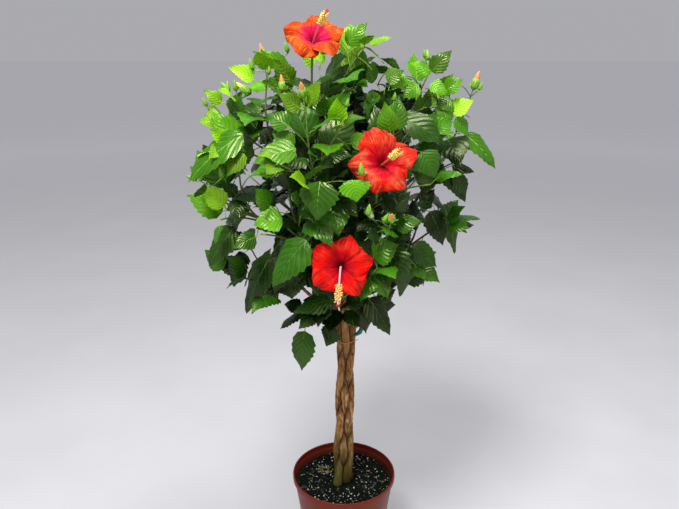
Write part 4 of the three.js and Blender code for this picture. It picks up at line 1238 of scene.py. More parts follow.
def petal_finish(name, look):
    """Silky petals, dark in the throat, with fine veins that run out to the edge."""
    made = Finish(name, 0.6)
    made.shader.inputs["Specular IOR Level"].default_value = 0.22
    made.shader.inputs["Specular Tint"].default_value = (1.0, 0.5, 0.35, 1.0)
    length = made.parts(made.surface_place())[1]
    streaks = made.noise(made.surface_place((30, 1.8, 1)), 1.0, 5, 0.65)
    blotch = made.noise(made.object_place(), 60)
    base = made.ramp(length, [(0.06, look["throat"]), (0.2, look["heart"]), (0.36, look["heart"]),
                              (0.5, look["petal"]), (1.0, look["petal"])])
    base = made.blend(made.remap(blotch, 0.45, 0.68, 0, 0.7), base, look["edge"])
    base = made.blend(made.remap(length, 0.22, 0.52, 1, 0), base, look["heart"])
    base = made.blend(made.remap(length, 0.06, 0.24, 1, 0), base, look["throat"])
    base = made.blend(made.remap(streaks, 0.47, 0.62, 0, 0.85), base, look["streak"])
    height = made.math("ADD", streaks, made.math("MULTIPLY", blotch, 0.3))
    return made.done(base, height, depth=3.0, strength=0.85)


def bark_finish(name):
    """Tan bark with long streaks, pale scars, painted shade between the stems and a green foot."""
    made = Finish(name, 0.8)
    made.shader.inputs["Specular IOR Level"].default_value = 0.2
    streaks = made.noise(made.object_place((1, 1, 0.06)), 210, 6, 0.68)
    patches = made.noise(made.object_place((1, 1, 0.4)), 60)
    scars = made.cells(made.object_place((1, 1, 1.8)), 75)
    base = made.ramp(streaks, [(0.36, "#4c2e16"), (0.5, "#946434"), (0.66, "#d0a676")])
    base = made.blend(made.remap(patches, 0.42, 0.68, 0, 0.4), base, "#a87844")
    base = made.blend(made.remap(scars, 0.06, 0.16, 0.6, 0), base, "#cdb491")
    height_up = made.parts(made.object_place())[2]
    foot = made.remap(height_up, (SOIL_TOP + 6) * MM, (SOIL_TOP + 170) * MM, 0.95, 0)
    base = made.blend(foot, base, "#40420e")
    base = made.blend(made.attribute("scar"), base, "#c8a880")
    # painted shade between the stems, made uneven along them
    uneven = made.remap(made.noise(made.object_place((1, 1, 0.5)), 48), 0.4, 0.6, 0.7, 1)
    base = made.blend(made.math("MULTIPLY", made.attribute("painted_shade"), uneven), base, "#100804")
    height = made.math("ADD", streaks, made.math("MULTIPLY", made.remap(scars, 0.0, 0.2, 0.6, 0), 0.5))
    return made.done(base, height, depth=1.4, strength=0.8)


def twig_finish(name, low, high, roughness=0.55):
    made = Finish(name, roughness)
    streaks = made.noise(made.object_place(), 260, 4)
    base = made.ramp(streaks, [(0.3, low), (0.7, high)])
    return made.done(base, streaks, depth=0.4, strength=0.4)


def pot_finish():
    """Thin moulded plastic, satin, a little chalky and scuffed, with painted shade on its inside."""
    made = Finish("pot_plastic", 0.42)
    made.shader.inputs["Specular Tint"].default_value = (1.0, 0.62, 0.42, 1.0)
    dust = made.noise(made.object_place(), 14, 5, 0.65)
    scuffs = made.noise(made.object_place((1, 1, 6)), 90, 4, 0.7)
    grain = made.noise(made.object_place(), 1600, 2)
    base = made.blend(made.remap(dust, 0.4, 0.75, 0, 0.5), "#6a1404", "#78200a")
    base = made.blend(made.remap(scuffs, 0.62, 0.8, 0, 0.35), base, "#92502f")
    # painted shade: inside the line of the outer wall, on the inner wall and floor, the plastic is darkened
    apart, up = made.from_axis()
    low, high = (POT["base_radius"] - 1) * MM, (POT["rim_radius"] - 2.6) * MM
    outer = made.remap(up, 0, POT["height"] * MM, low, high)
    inside = made.remap(made.math("SUBTRACT", outer, apart), 0, 0.001, 0, 0.85)
    base = made.blend(inside, base, "#3c1006")
    rough = made.remap(dust, 0.35, 0.7, 0.34, 0.58)
    height = made.math("ADD", made.math("MULTIPLY", grain, 0.35), made.math("MULTIPLY", scuffs, 0.5))
    return made.done(base, height, depth=0.25, strength=0.35, roughness=rough)


def soil_finish():
    made = Finish("potting_mix", 0.95)
    made.shader.inputs["Specular IOR Level"].default_value = 0.1
    clods = made.noise(made.object_place(), 160, 6, 0.7)
    crumbs = made.cells(made.object_place(), 420)
    base = made.ramp(clods, [(0.3, "#030604"), (0.55, "#0c130d"), (0.78, "#232a1e")])
    base = made.blend(made.remap(crumbs, 0.0, 0.3, 0.3, 0), base, "#2c3426")
    height = made.math("ADD", clods, crumbs)
    return made.done(base, height, depth=2.4, strength=0.8)


def speck_finish(name, low, high):
    made = Finish(name, 0.85)
    pores = made.noise(made.object_place(), 900, 3)
    return made.done(made.ramp(pores, [(0.35, low), (0.6, high)]), pores, depth=0.4, strength=0.5)


def calyx_finish(name, low, high):
    """Ribbed green of buds and of the cups behind the blooms."""
    made = Finish(name, 0.5)
    ribs = made.noise(made.surface_place((24, 2, 1)), 1.0, 2)
    return made.done(made.ramp(ribs, [(0.35, low), (0.65, high)]), ribs, depth=0.6, strength=0.45)


# ---- Pot ----

def wall_radius(height):
    under_rim = POT["height"] - POT["rim_depth"]
    return mix(POT["base_radius"], POT["rim_radius"] - POT["rim_lip"], min(height, under_rim) / under_rim)


def draw_out(radius, height, before):
    """The selected ring goes on to a new radius and height."""
    bpy.ops.mesh.extrude_region_move(TRANSFORM_OT_translate={"value": (0, 0, (height - before[1]) * MM)})
    ratio = radius / before[0]
    bpy.ops.transform.resize(value=(ratio, ratio, 1), center_override=(0, 0, height * MM))
    return radius, height


def model_pot():
    under_rim, ledge = POT["height"] - POT["rim_depth"], POT["height"] - POT["ledge_below_rim"]
    rim, floor, top = POT["rim_radius"], POT["floor"], POT["height"]
    inner = wall_radius(under_rim) - POT["wall"]
    wall = [
        (POT["base_radius"] - 0.7, 0.4),
        (POT["base_radius"], 1.5),
        *[(wall_radius(under_rim * share), under_rim * share) for share in (0.25, 0.5, 0.75, 1)],
        (rim - 0.9, under_rim + 0.1), (rim - 0.2, under_rim + 0.6), (rim, under_rim + 1.6),
        (rim, top - 1.8), (rim - 0.4, top - 0.6), (rim - 1.3, top - 0.1), (rim - 2.2, top - 0.3),
        (rim - POT["rim_lip"] + 0.4, top - 1.2),
        (inner + POT["ledge_width"], ledge + 1), (inner + POT["ledge_width"] * 0.6, ledge),
        (wall_radius(ledge - 2) - POT["wall"], ledge - 1.6),
        *[(wall_radius(ledge * share) - POT["wall"], ledge * share) for share in (0.75, 0.5, 0.25)],
        (wall_radius(floor + 1) - POT["wall"], floor + 1), (wall_radius(floor) - POT["wall"] - 1, floor),
    ]
    start = (POT["base_radius"] - 1.5, 0)
    bpy.ops.mesh.primitive_circle_add(vertices=POT["sides"], radius=start[0] * MM, fill_type="NGON",
                                      location=(0, 0, 0))
    pot = bpy.context.object
    bpy.ops.object.mode_set(mode="EDIT")
    bpy.ops.mesh.select_all(action="SELECT")
    for radius, height in wall:
        start = draw_out(radius, height, start)
    bpy.ops.mesh.select_all(action="SELECT")
    bpy.ops.mesh.normals_make_consistent(inside=False)
    bpy.ops.object.mode_set(mode="OBJECT")
    for i in range(POT["drain_holes"]):
        turn = 2 * math.pi * (i + 0.5) / POT["drain_holes"]
        place = (POT["drain_circle"] * math.cos(turn) * MM, POT["drain_circle"] * math.sin(turn) * MM, 0)
        bpy.ops.object.select_all(action="DESELECT")
        bpy.ops.mesh.primitive_cylinder_add(vertices=20, radius=POT["drain_radius"] * MM,
                                            depth=4 * floor * MM, location=place)
        drill = bpy.context.object
        apply_modifier(pot, "BOOLEAN", operation="DIFFERENCE", object=drill, solver="EXACT")
        bpy.data.objects.remove(drill)
    settle(pot, "pot_shell", pot_finish(), smooth_angle=35)
    return dressed(pot, "pot_plastic")


# ---- Soil ----

# patch is the middle of a drier place on the soil.
SOIL = dict(
    cells=150, swell=1.4, crumb=2.1, perlite=340, chips=110, straws=34, crumbs=120,
    patch=(-40, 32), patch_radius=17, trunk_radius=26,
)


def soil_level(x, y):
    swell = noise.noise(Vector((x / 34, y / 34, 0.3))) * SOIL["swell"]
    crumb = noise.fractal(Vector((x / 7, y / 7, 4.1)), 0.7, 2.1, 4) * SOIL["crumb"]
    return SOIL_TOP + 1.6 + swell + crumb


def model_soil():
    """A crumbly top over the flat fill, held to the pot's wall."""
    radius = wall_radius(SOIL_TOP) - POT["wall"] - 0.6
    bpy.ops.object.select_all(action="DESELECT")
    bpy.ops.mesh.primitive_grid_add(x_subdivisions=SOIL["cells"], y_subdivisions=SOIL["cells"],
                                    size=2 * MM, location=(0, 0, 0))
    soil = bpy.context.object
    flat = points_of(soil)
    # the square grid is drawn in to a disc
    x, y = flat[:, 0], flat[:, 1]
    disc = np.stack([x * np.sqrt(1 - y * y / 2), y * np.sqrt(1 - x * x / 2)], 1) * radius
    levels = np.array([soil_level(*place) for place in disc])
    reach = np.hypot(disc[:, 0], disc[:, 1]) / radius
    levels = np.where(reach > 0.985, SOIL_TOP - 0.5, levels)
    move_points(soil, np.column_stack([disc, levels]))
    settle(soil, "soil_surface", soil_finish())
    return dressed(soil, "potting_mix")


# A small uneven stone: its foot, a ring of five points, another ring over it, and its top.
STONE_POINTS = np.array([
    (0, 0, -1),
    (0.9, 0, -0.3), (0.25, 0.85, -0.35), (-0.75, 0.5, -0.3), (-0.7, -0.6, -0.35), (0.3, -0.85, -0.3),
    (0.7, 0.55, 0.4), (-0.3, 0.9, 0.35), (-0.9, 0, 0.4), (-0.25, -0.85, 0.4), (0.75, -0.5, 0.35),
    (0, 0, 1),
])
STONE_FACES = [
    (0, 2, 1), (0, 3, 2), (0, 4, 3), (0, 5, 4), (0, 1, 5), (1, 2, 6), (2, 7, 6), (2, 3, 7), (3, 8, 7),
    (3, 4, 8), (4, 9, 8), (4, 5, 9), (5, 10, 9), (5, 1, 10), (1, 6, 10), (11, 6, 7), (11, 7, 8),
    (11, 8, 9), (11, 9, 10), (11, 10, 6),
]


def scatter_on_soil(count, sizes, random, flatness=1.0, middle=(0, 0), radius=None):
    """Small stones dropped over the soil, or round a place on it, each with its own size and turn."""
    scattered = Joined()
    radius = radius or wall_radius(SOIL_TOP) - POT["wall"] - 4
    while count:
        x, y = middle[0] + (2 * random() - 1) * radius, middle[1] + (2 * random() - 1) * radius
        if math.hypot(x - middle[0], y - middle[1]) > radius or math.hypot(x, y + 4) < SOIL["trunk_radius"]:
            continue
        count -= 1
        size = mix(*sizes, random() ** 2)
        turn, tilt = 2 * math.pi * random(), random() - 0.5
        across = np.array([math.cos(turn), math.sin(turn), tilt]) * size
        over = np.array([-math.sin(turn), math.cos(turn), 0]) * size * flatness
        up = np.array([-tilt * math.cos(turn), -tilt * math.sin(turn), 1]) * size * min(flatness + 0.2, 0.8)
        points = STONE_POINTS @ np.array([across, over, up]) + [x, y, soil_level(x, y) + 0.3 * size]
        scattered.add(points, STONE_FACES, tint=random())
    return scattered


def model_straws():
    """Bits of straw that lie on the soil."""
    random = seeded_random(SEEDS["straws"])
    straws = Joined()
    for _ in range(SOIL["straws"]):
        turn, way = 2 * math.pi * random(), 2 * math.pi * random()
        apart, length = mix(30, 88, random()), mix(6, 17, random())
        x, y = apart * math.cos(turn), apart * math.sin(turn)
        far_x, far_y = x + 0.6 * length * math.cos(way), y + 0.6 * length * math.sin(way)
        path = [(x, y, soil_level(x, y) + 0.7), (far_x, far_y, soil_level(far_x, far_y) + 0.9)]
        straws.add(*tube(path, [0.6, 0.4], 4), tint=random())
    return straws.piece("straws", speck_finish("straw", "#5e5a3c", "#a8a488"), "potting_mix")


# ---- Bark ----

# Pale scars of cut shoots on the stems: where, and how wide.
SCARS = [
    ((6, -16, 375), 2.6), ((15, -12, 346), 2.6), ((14, -13, 333), 3), ((8, -16, 322), 2.2),
    ((0, -16, 452), 2),
]
BARK = dict(
    swell=0.9, sides=14, rings=56, leader_rings=22, furrow=0.75, knot=2.2, stretch=26, grain=3.2,
    painted_shade_reach=6,  # how far the painted shade spreads from the next stem
    bough_relief=0.6,
)


def bark_relief(place):
    """How far the bark stands out at a place: long furrows, and low swellings at old leaf scars."""
    x, y, z = place
    furrow = noise.fractal(Vector((x / BARK["grain"], y / BARK["grain"], z / BARK["stretch"])), 0.8, 2.1, 3)
    knot = noise.noise(Vector((x / 9, y / 9, z / 11)))
    return BARK["furrow"] * furrow + BARK["knot"] * max(knot - 0.25, 0)


def model_stem(name):
    """A stem drawn up out of a ring, then rounded off and given its bark."""
    stem = STEMS[name]
    heights = ring_heights(stem, BARK["rings"], BARK["leader_rings"])
    middles = [stem_middle(stem, height) for height in heights]
    radii = [stem_radius(stem, height) for height in heights]
    bpy.ops.object.select_all(action="DESELECT")
    bpy.ops.mesh.primitive_circle_add(vertices=BARK["sides"], radius=radii[0] * MM, fill_type="NGON",
                                      location=middles[0] * MM)
    piece = bpy.context.object
    bpy.ops.object.mode_set(mode="EDIT")
    bpy.ops.mesh.select_all(action="SELECT")
    for i in range(1, len(heights)):
        step = (middles[i] - middles[i - 1]) * MM
        ratio = radii[i] / radii[i - 1]
        bpy.ops.mesh.extrude_region_move(TRANSFORM_OT_translate={"value": step})
        bpy.ops.transform.resize(value=(ratio, ratio, 1), center_override=middles[i] * MM)
    bpy.ops.mesh.select_all(action="SELECT")
    bpy.ops.mesh.normals_make_consistent(inside=False)
    bpy.ops.object.mode_set(mode="OBJECT")
    apply_modifier(piece, "SUBSURF", levels=2, render_levels=2)
    settle(piece, f"bark_{name}", bark_finish(f"bark_of_{name}"))
    others = [other for other in STEMS if other != name]
    places = points_of(piece)
    moved, painted_shade_levels, scars = places.copy(), np.zeros(len(places)), np.zeros(len(places))
    for middle, width in SCARS:
        apart = np.linalg.norm((places - middle) * [1, 1, 0.6], axis=1)
        scars = np.maximum(scars, np.clip(1.7 - apart / width, 0, 0.75))
    for i, place in enumerate(places):
        height = clamp(place[2], BRAID["foot"], stem["tip"][2])
        middle = stem_middle(stem, height)
        out = place - middle
        out[2] = 0
        moved[i] = place + unit(out + [1e-6, 0, 0]) * (bark_relief(place) + BARK["swell"])
        # painted shade: how near each point lies to the next stem
        for other in others:
            if height > STEMS[other]["tip"][2]:
                continue
            apart = np.hypot(*(place - stem_middle(STEMS[other], height))[:2])
            painted_shade_levels[i] = max(painted_shade_levels[i], 1 - (apart - stem_radius(STEMS[other], height)) / BARK["painted_shade_reach"])
    low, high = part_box(name)
    moved[:, 2] = np.clip(moved[:, 2], low.z / MM, high.z / MM)
    move_points(piece, moved)
    # the painted shade between the stems is kept as an attribute for the bark's finish
    painted_shade = piece.data.attributes.new("painted_shade", "FLOAT", "POINT")
    painted_shade.data.foreach_set("value", np.clip(painted_shade_levels, 0, 1).astype(np.float32))
    scar = piece.data.attributes.new("scar", "FLOAT", "POINT")
    scar.data.foreach_set("value", scars.astype(np.float32))
    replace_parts(piece, name)
    return dressed(piece, "bark")


def round_limb(name, path, radii, finish, smoothness=3):
    """A round limb drawn along a curve, closed at its ends."""
    line = bpy.data.curves.new(name, "CURVE")
    line.dimensions = "3D"
    line.bevel_depth = MM
    line.bevel_resolution = smoothness
    line.use_fill_caps = True
    spline = line.splines.new("POLY")
    spline.points.add(len(path) - 1)
    for point, place, radius in zip(spline.points, path, radii):
        point.co = (*(np.asarray(place) * MM), 1)
        point.radius = radius
    piece = bpy.data.objects.new(name, line)
    bpy.context.collection.objects.link(piece)
    select_only(piece)
    bpy.ops.object.convert(target="MESH")
    return settle(bpy.context.object, name, finish)


def model_bough(name, finish):
    curve = bough_curve(BOUGHS[name])
    steps = 26
    radii = [mix(BOUGH["base_radius"], BOUGH["tip_radius"], i / steps) for i in range(steps + 1)]
    piece = round_limb(f"bark_{name}", curve.points(steps), radii, finish)
    apply_modifier(piece, "SUBSURF", levels=1, render_levels=1)
    places = points_of(piece)
    outs = np.zeros(len(places) * 3, np.float32)
    piece.data.vertices.foreach_get("normal", outs)
    relief = np.array([bark_relief(place) for place in places])
    move_points(piece, places + outs.reshape(-1, 3) * relief[:, None] * BARK["bough_relief"])
    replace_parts(piece, name)
    return dressed(piece, "bark")


# ---- Leaves and twigs ----

def drawn_half_width(share):
    """Half the width of a blade as it is drawn: round at its foot and drawn out to a point."""
    opening = np.sqrt(np.maximum(0, 1 - (1 - share / BLADE_WIDE_AT) ** 2))
    closing = np.clip((share - BLADE_WIDE_AT) / (1 - BLADE_WIDE_AT), 0, 1)
    return np.where(share < BLADE_WIDE_AT, opening, (1 - closing**1.7) * (1 - 0.4 * closing**2))


def blade_template():
    """A toothed blade: across from -1 to 1, along from 0 at its neck to 1 at its tip, how much it
    domes, and its faces, a few dozen in all."""
    places, domes = [(0, 0)], [0]
    for row in range(1, BLADE_ROWS):
        along = (row / BLADE_ROWS) ** 0.92
        tooth = row % 2 == 1
        for across in BLADE_COLUMNS:
            out = abs(across)
            lobe = -0.07 * out**2 * max(0, 1 - along / 0.3)
            slant = lobe + (0.03 if tooth and out == 1 else 0) * (1 - along)
            reach = across * (1.05 if tooth else 0.92) if out == 1 and row > 1 else across
            places.append((reach, along + slant))
            domes.append((1 if tooth else -1) * (0 < out < 1))
    places.append((0, 1))
    domes.append(0)
    width, last = len(BLADE_COLUMNS), len(places) - 1
    faces = [(0, 1 + j, 2 + j) for j in range(width - 1)]
    for row in range(BLADE_ROWS - 2):
        low, high = 1 + row * width, 1 + (row + 1) * width
        faces += [(low + j, high + j, high + j + 1, low + j + 1) for j in range(width - 1)]
    foot = 1 + (BLADE_ROWS - 2) * width
    faces += [(foot + j, last, foot + j + 1) for j in range(width - 1)]
    return np.array(places, float), np.array(domes, float), faces


BLADE_PLACES, BLADE_DOMES, BLADE_FACES = blade_template()


TIP_CURL = 2.4
PLACED_DROOP = 0.3


def add_blade(joined, leaf, random):
    across, along = BLADE_PLACES.T
    middles, _, sides, lifts = blade_frames(leaf, along)
    half = drawn_half_width(np.clip(along, 0.02, 1)) * leaf["width"] / 2 * BLADE_SPREAD
    young = clamp((leaf["tone"] - 0.55) / 0.35)
    fold, phase = mix(0.08, 0.36, random()) + 0.2 * young, random()
    wave = np.sin(2 * math.pi * (1.6 * along + phase)) * across * abs(across) * leaf["length"] * 0.03
    out = abs(across)
    pleats = BLADE_DOMES * leaf["length"] * mix(0.006, 0.017, young)
    held_up = PLACED_DROOP if leaf.get("placed") else 1
    leaf["droop"] = leaf["length"] * mix(0.24, 0.08, young) * (0.4 + phase) * held_up
    level = half * out * fold - half * out**2 * mix(0.34, 0.2, young) + pleats + wave
    level = level - leaf["droop"] * np.clip(along, 0, 1) ** TIP_CURL
    points = middles + sides * (across * half)[:, None] + lifts * level[:, None]
    places = np.column_stack([0.5 + across / 2.2, along])
    joined.add(points, BLADE_FACES, places, random())


RIB_SHARES = np.array([0, 0.16, 0.32, 0.48, 0.62, 0.76, 0.88, 0.96])
RIB_WIDTHS = (0.95, 0.8, 0.85, 0.7, 0.58, 0.5, 0.42, 0.34, 0.26, 0.16)


def add_stalk_and_rib(joined, leaf, random):
    """A leaf's stalk, which runs on along the blade as its midrib."""
    middles, _, _, lifts = blade_frames(leaf, RIB_SHARES)
    scale = clamp(leaf["length"] / 90, 0.55, 1.2)
    sunk = 0.15 + leaf["droop"] * RIB_SHARES[:, None] ** TIP_CURL
    path = [leaf["root"], mix(leaf["root"], leaf["neck"], 0.55), *(middles - lifts * sunk)]
    radii = [LEAF["petiole_radius"] * scale * share for share in RIB_WIDTHS]
    points, faces = tube(path, radii, 3)
    joined.add(points, faces, tint=random())


def tone_of(share):
    return next(name for name, tone in LEAF_TONES.items() if share < tone["upto"])


def shown_tone(leaf):
    """A leaf's tone, with painted shade: darker the deeper it is in the crown."""
    if leaf.get("placed"):
        return leaf["tone"]
    depth = crown_share(mix(leaf["neck"], leaf["tip"], 0.5)[None])[0] ** 0.5
    return leaf["tone"] * mix(0.25, 1.0, clamp((depth - 0.5) / 0.45))


def model_leaves(masses):
    random = seeded_random(SEEDS["leaves"])
    blades = {name: Joined() for name in LEAF_TONES}
    stalks = {"old": Joined(), "young": Joined()}
    for grown in masses.values():
        for leaf in grown["leaves"]:
            tone = shown_tone(leaf)
            add_blade(blades[tone_of(tone)], leaf, random)
            # the stalk's green follows the leaf's shown tone, so it is darker partly from age and partly from
            # painted shade
            add_stalk_and_rib(stalks["young" if tone > 0.42 else "old"], leaf, random)
    pieces = []
    for name, joined in blades.items():
        if joined.count:
            tone = LEAF_TONES[name]
            pieces.append(joined.piece(name, leaf_finish(name, tone), tone["slot"]))
    old = twig_finish("leaf_stalk_old", "#3a6420", "#6c983a")
    young = twig_finish("leaf_stalk_young", "#8fbe3c", "#c0dc6c")
    pieces.append(stalks["old"].piece("leaf_stalks_old", old, "foliage_mature"))
    pieces.append(stalks["young"].piece("leaf_stalks_young", young, "foliage_young"))
    return pieces


def model_twigs(masses):
    """The masses' own stems, woody, and their shoots and side twigs, green."""
    woody, green = Joined(), Joined()
    for name, grown in masses.items():
        stem = grown["stem"].points(8)
        woody.add(*tube(stem, np.linspace(grown["radius"], SHOOT["stem_radius"], len(stem)), 7))
        for shoot in grown["shoots"]:
            path = [shoot["curve"].at(shoot["drawn_to"] * i / 9) for i in range(10)]
            tip_radius = shoot["plan"].get("tip_radius", SHOOT["tip_radius"])
            side = woody if MASSES[name]["light"] < 0.3 else green
            side.add(*tube(path, np.linspace(SHOOT["radius"] + 0.25, tip_radius, len(path)), 6))
        for twig in grown.get("side_twigs", []):
            path = twig.points(5)
            green.add(*tube(path, np.linspace(FINER["radius"], FINER["tip_radius"], len(path)), 5))
    bark = twig_finish("woody_twig", "#3a2e1a", "#6a5a32", 0.75)
    skin = twig_finish("green_twig", "#40601c", "#86a43a")
    return [woody.piece("twigs_woody", bark, "bark"), green.piece("twigs_green", skin, "foliage_young")]


# ---- Buds ----

BUD_RINGS = ((0, 0.2), (0.06, 0.62), (0.2, 0.95), (0.4, 1.0), (0.6, 0.8))
BUD_TIP_RINGS = ((0.45, 0.74), (0.62, 0.66), (0.78, 0.5), (0.92, 0.27), (1.02, 0.05))
BUD_SIDES = 10
BUD_BRACTS = 7
RIPE_SIZE = 0.9


def lathe_points(foot, way, rings, length, radius, sides, ribbing=0.0, twist=0.0):
    side = side_of(way)
    lift = np.cross(side, way)
    points = []
    for share, width in rings:
        for j in range(sides):
            turn = 2 * math.pi * j / sides + twist * share
            reach = radius * width * (1 + (ribbing if j % 2 else -ribbing))
            out = side * math.cos(turn) + lift * math.sin(turn)
            points.append(foot + way * length * share + out * reach)
    return points


def lathe_faces(rings, sides):
    faces = []
    for i in range(rings - 1):
        for j in range(sides):
            after = (j + 1) % sides
            faces.append((i * sides + j, i * sides + after, (i + 1) * sides + after, (i + 1) * sides + j))
    return faces


def surface_places(rings, sides):
    shares = [(abs(2 * j / sides - 1), i / (rings - 1)) for i in range(rings) for j in range(sides)]
    return np.array(shares, float)


def add_bud(calyxes, tips, bud, ripe):
    """A bud: a ribbed green cup with a ring of narrow bracts, and furled petals that show when ripe."""
    foot, way = bud["neck"], unit(bud["end"] - bud["neck"])
    length, radius = BUD["length"] * bud["size"] * 0.98, BUD["radius"] * bud["size"] * 0.96
    rings = BUD_RINGS if ripe else (*BUD_RINGS, (0.8, 0.46), (0.98, 0.08))
    points = lathe_points(foot, way, rings, length, radius, BUD_SIDES, 0.06)
    faces = lathe_faces(len(rings), BUD_SIDES)
    faces += [tuple(reversed(range(BUD_SIDES))), tuple(len(points) - BUD_SIDES + j for j in range(BUD_SIDES))]
    calyxes.add(points, faces, surface_places(len(rings), BUD_SIDES), tint=bud["size"])
    side = side_of(way)
    lift = np.cross(side, way)
    for j in range(BUD_BRACTS):
        turn = 2 * math.pi * (j + 0.5) / BUD_BRACTS
        out = side * math.cos(turn) + lift * math.sin(turn)
        over = np.cross(way, out) * 1.1 * bud["size"]
        root, knee = foot + out * radius * 0.3, foot + out * radius * 1.15 + way * length * 0.16
        tip = knee + unit(out * 0.8 + way) * length * 0.26
        points = [root - over, root + over, knee + over, knee - over, tip, knee - out * 0.7]
        faces = [(0, 1, 2, 3), (3, 2, 4), (5, 3, 4), (2, 5, 4), (1, 5, 2), (0, 3, 5), (0, 5, 1)]
        calyxes.add(points, faces, tint=bud["size"])
    if ripe:
        points = lathe_points(foot, way, BUD_TIP_RINGS, length, radius, BUD_SIDES, 0.09, 2.4)
        faces = lathe_faces(len(BUD_TIP_RINGS), BUD_SIDES)
        faces.append(tuple(len(points) - BUD_SIDES + j for j in range(BUD_SIDES)))
        tips.add(points, faces, surface_places(len(BUD_TIP_RINGS), BUD_SIDES))


def model_buds(masses):
    random = seeded_random(SEEDS["buds"])
    calyxes, stalks = Joined(), Joined()
    tips = {"bud_tips_pink": Joined(), "bud_tips_yellow": Joined()}
    for grown in masses.values():
        for bud in grown["buds"]:
            ripe = bud["size"] > RIPE_SIZE
            add_bud(calyxes, tips["bud_tips_pink" if random() < 0.55 else "bud_tips_yellow"], bud, ripe)
            path = [mix(bud["root"], bud["neck"], share) for share in (0, 0.5, 1)]
            stalks.add(*tube(path, [LEAF["root_radius"], BUD["stalk_radius"], BUD["stalk_radius"] * 1.5], 5))
    pieces = [calyxes.piece("bud_calyxes", calyx_finish("bud_green", "#4f8f1e", "#9ccb3c"), "foliage_young"),
              stalks.piece("bud_stalks", twig_finish("bud_stalk", "#6fa02c", "#a8cc50"), "foliage_young")]
    hues = {"bud_tips_pink": ("#e87a3c", "#f2b070"), "bud_tips_yellow": ("#d8b840", "#f0dc84")}
    for name, joined in tips.items():
        if joined.count:
            pieces.append(joined.piece(name, calyx_finish(name, *hues[name]), "petals"))
    return pieces


# ---- Blooms ----

def model_petal(bloom, look, index, random):
    """One petal, drawn from a grid: a deep throat, a wide ruffled edge and soft folds."""
    throat, axis, side, lift = bloom_frame(bloom)
    turn = bloom["turn"] + 2 * math.pi * index / FLOWER["petals"]
    out = side * math.cos(turn) + lift * math.sin(turn)
    across = np.cross(out, axis)
    bpy.ops.object.select_all(action="DESELECT")
    bpy.ops.mesh.primitive_grid_add(x_subdivisions=PETAL_GRID[0], y_subdivisions=PETAL_GRID[1],
                                    size=2 * MM, location=(0, 0, 0))
    petal = bpy.context.object
    flat = points_of(petal)
    wide, share = flat[:, 0], np.clip((flat[:, 1] + 1) / 2, 0, 1)
    phase, curl, width, skew = (random() for _ in range(4))
    phase *= 2 * math.pi
    ruffle = np.sin(4.4 * wide + phase) + 0.55 * np.sin(9.5 * wide + 2.3 * phase)
    crimp = np.sin(21 * wide + phase) * share**6
    rounded = share * (1 - look["rounding"] * wide**2 * share) * (1 + 0.03 * ruffle * share**3 - 0.05 * curl)
    rounded = np.minimum(rounded + 0.012 * crimp, 1)
    radial = mix(PETAL["foot"], bloom["radius"] * (1 + look["lift"] * (out @ UP)), rounded)
    folds = PETAL["fold"] * np.cos(8 * wide + phase) * np.sin(np.pi * share)
    level = petal_height(rounded) + wide * FLOWER["overlap_tilt"] * share * 1.2 + folds
    level = level + look["ruffle"] * ruffle * share**2.2 * (0.25 + 0.75 * abs(wide)) + 1.2 * crimp
    level = level - PETAL["curl"] * (curl * share**4 + (1 - width) * wide**2 * share**1.5)
    half = petal_half_width(share, bloom["radius"]) * (0.32 + 0.68 * share) * mix(0.9, 1.12, width)
    shift = (skew - 0.5) * 14 * share**2
    points = throat + radial[:, None] * out + (wide * half + shift)[:, None] * across + level[:, None] * axis
    move_points(petal, points)
    return petal


def model_bloom(name):
    bloom, look = BLOOMS[name], BLOOM_LOOKS[name]
    random = seeded_random(len(name) * 31 + int(bloom["radius"]))
    petals = [model_petal(bloom, look, i, random) for i in range(FLOWER["petals"])]
    bpy.ops.object.select_all(action="DESELECT")
    for petal in petals:
        petal.select_set(True)
    bpy.context.view_layer.objects.active = petals[0]
    bpy.ops.object.join()
    blades = bpy.context.object
    apply_modifier(blades, "SOLIDIFY", thickness=0.7 * MM, offset=0)
    apply_modifier(blades, "SUBSURF", levels=1, render_levels=1)
    settle(blades, f"{name}_petals", petal_finish(f"{name}_petal", look))
    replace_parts(blades, name)
    pieces = [dressed(blades, "petals")]
    column = column_curve(bloom)
    steps = 24
    radii = [mix(FLOWER["column_radius"], 1.1, (i / steps) ** 0.7) for i in range(steps + 1)]
    tint = twig_finish(f"{name}_column", look["column"], look["column"])
    pieces.append(dressed(round_limb(f"{name}_column", column.points(steps), radii, tint), "petals"))
    pieces += model_anthers(name, column, look, random)
    pieces.append(model_calyx(name, bloom))
    curve = stalk_curve(bloom)
    radii = [FLOWER["stalk_radius"] + 0.4 * (i / 12) ** 2 for i in range(13)]
    green = twig_finish(f"{name}_stalk", "#5c8a28", "#8fb844")
    pieces.append(dressed(round_limb(f"{name}_stalk", curve.points(12), radii, green), "foliage_young"))
    return pieces


ANTHERS = dict(count=64, first=0.7, last=0.96, filament=4.6, pad=1.6, arms=5, arm=3.2, stigma=1.4)


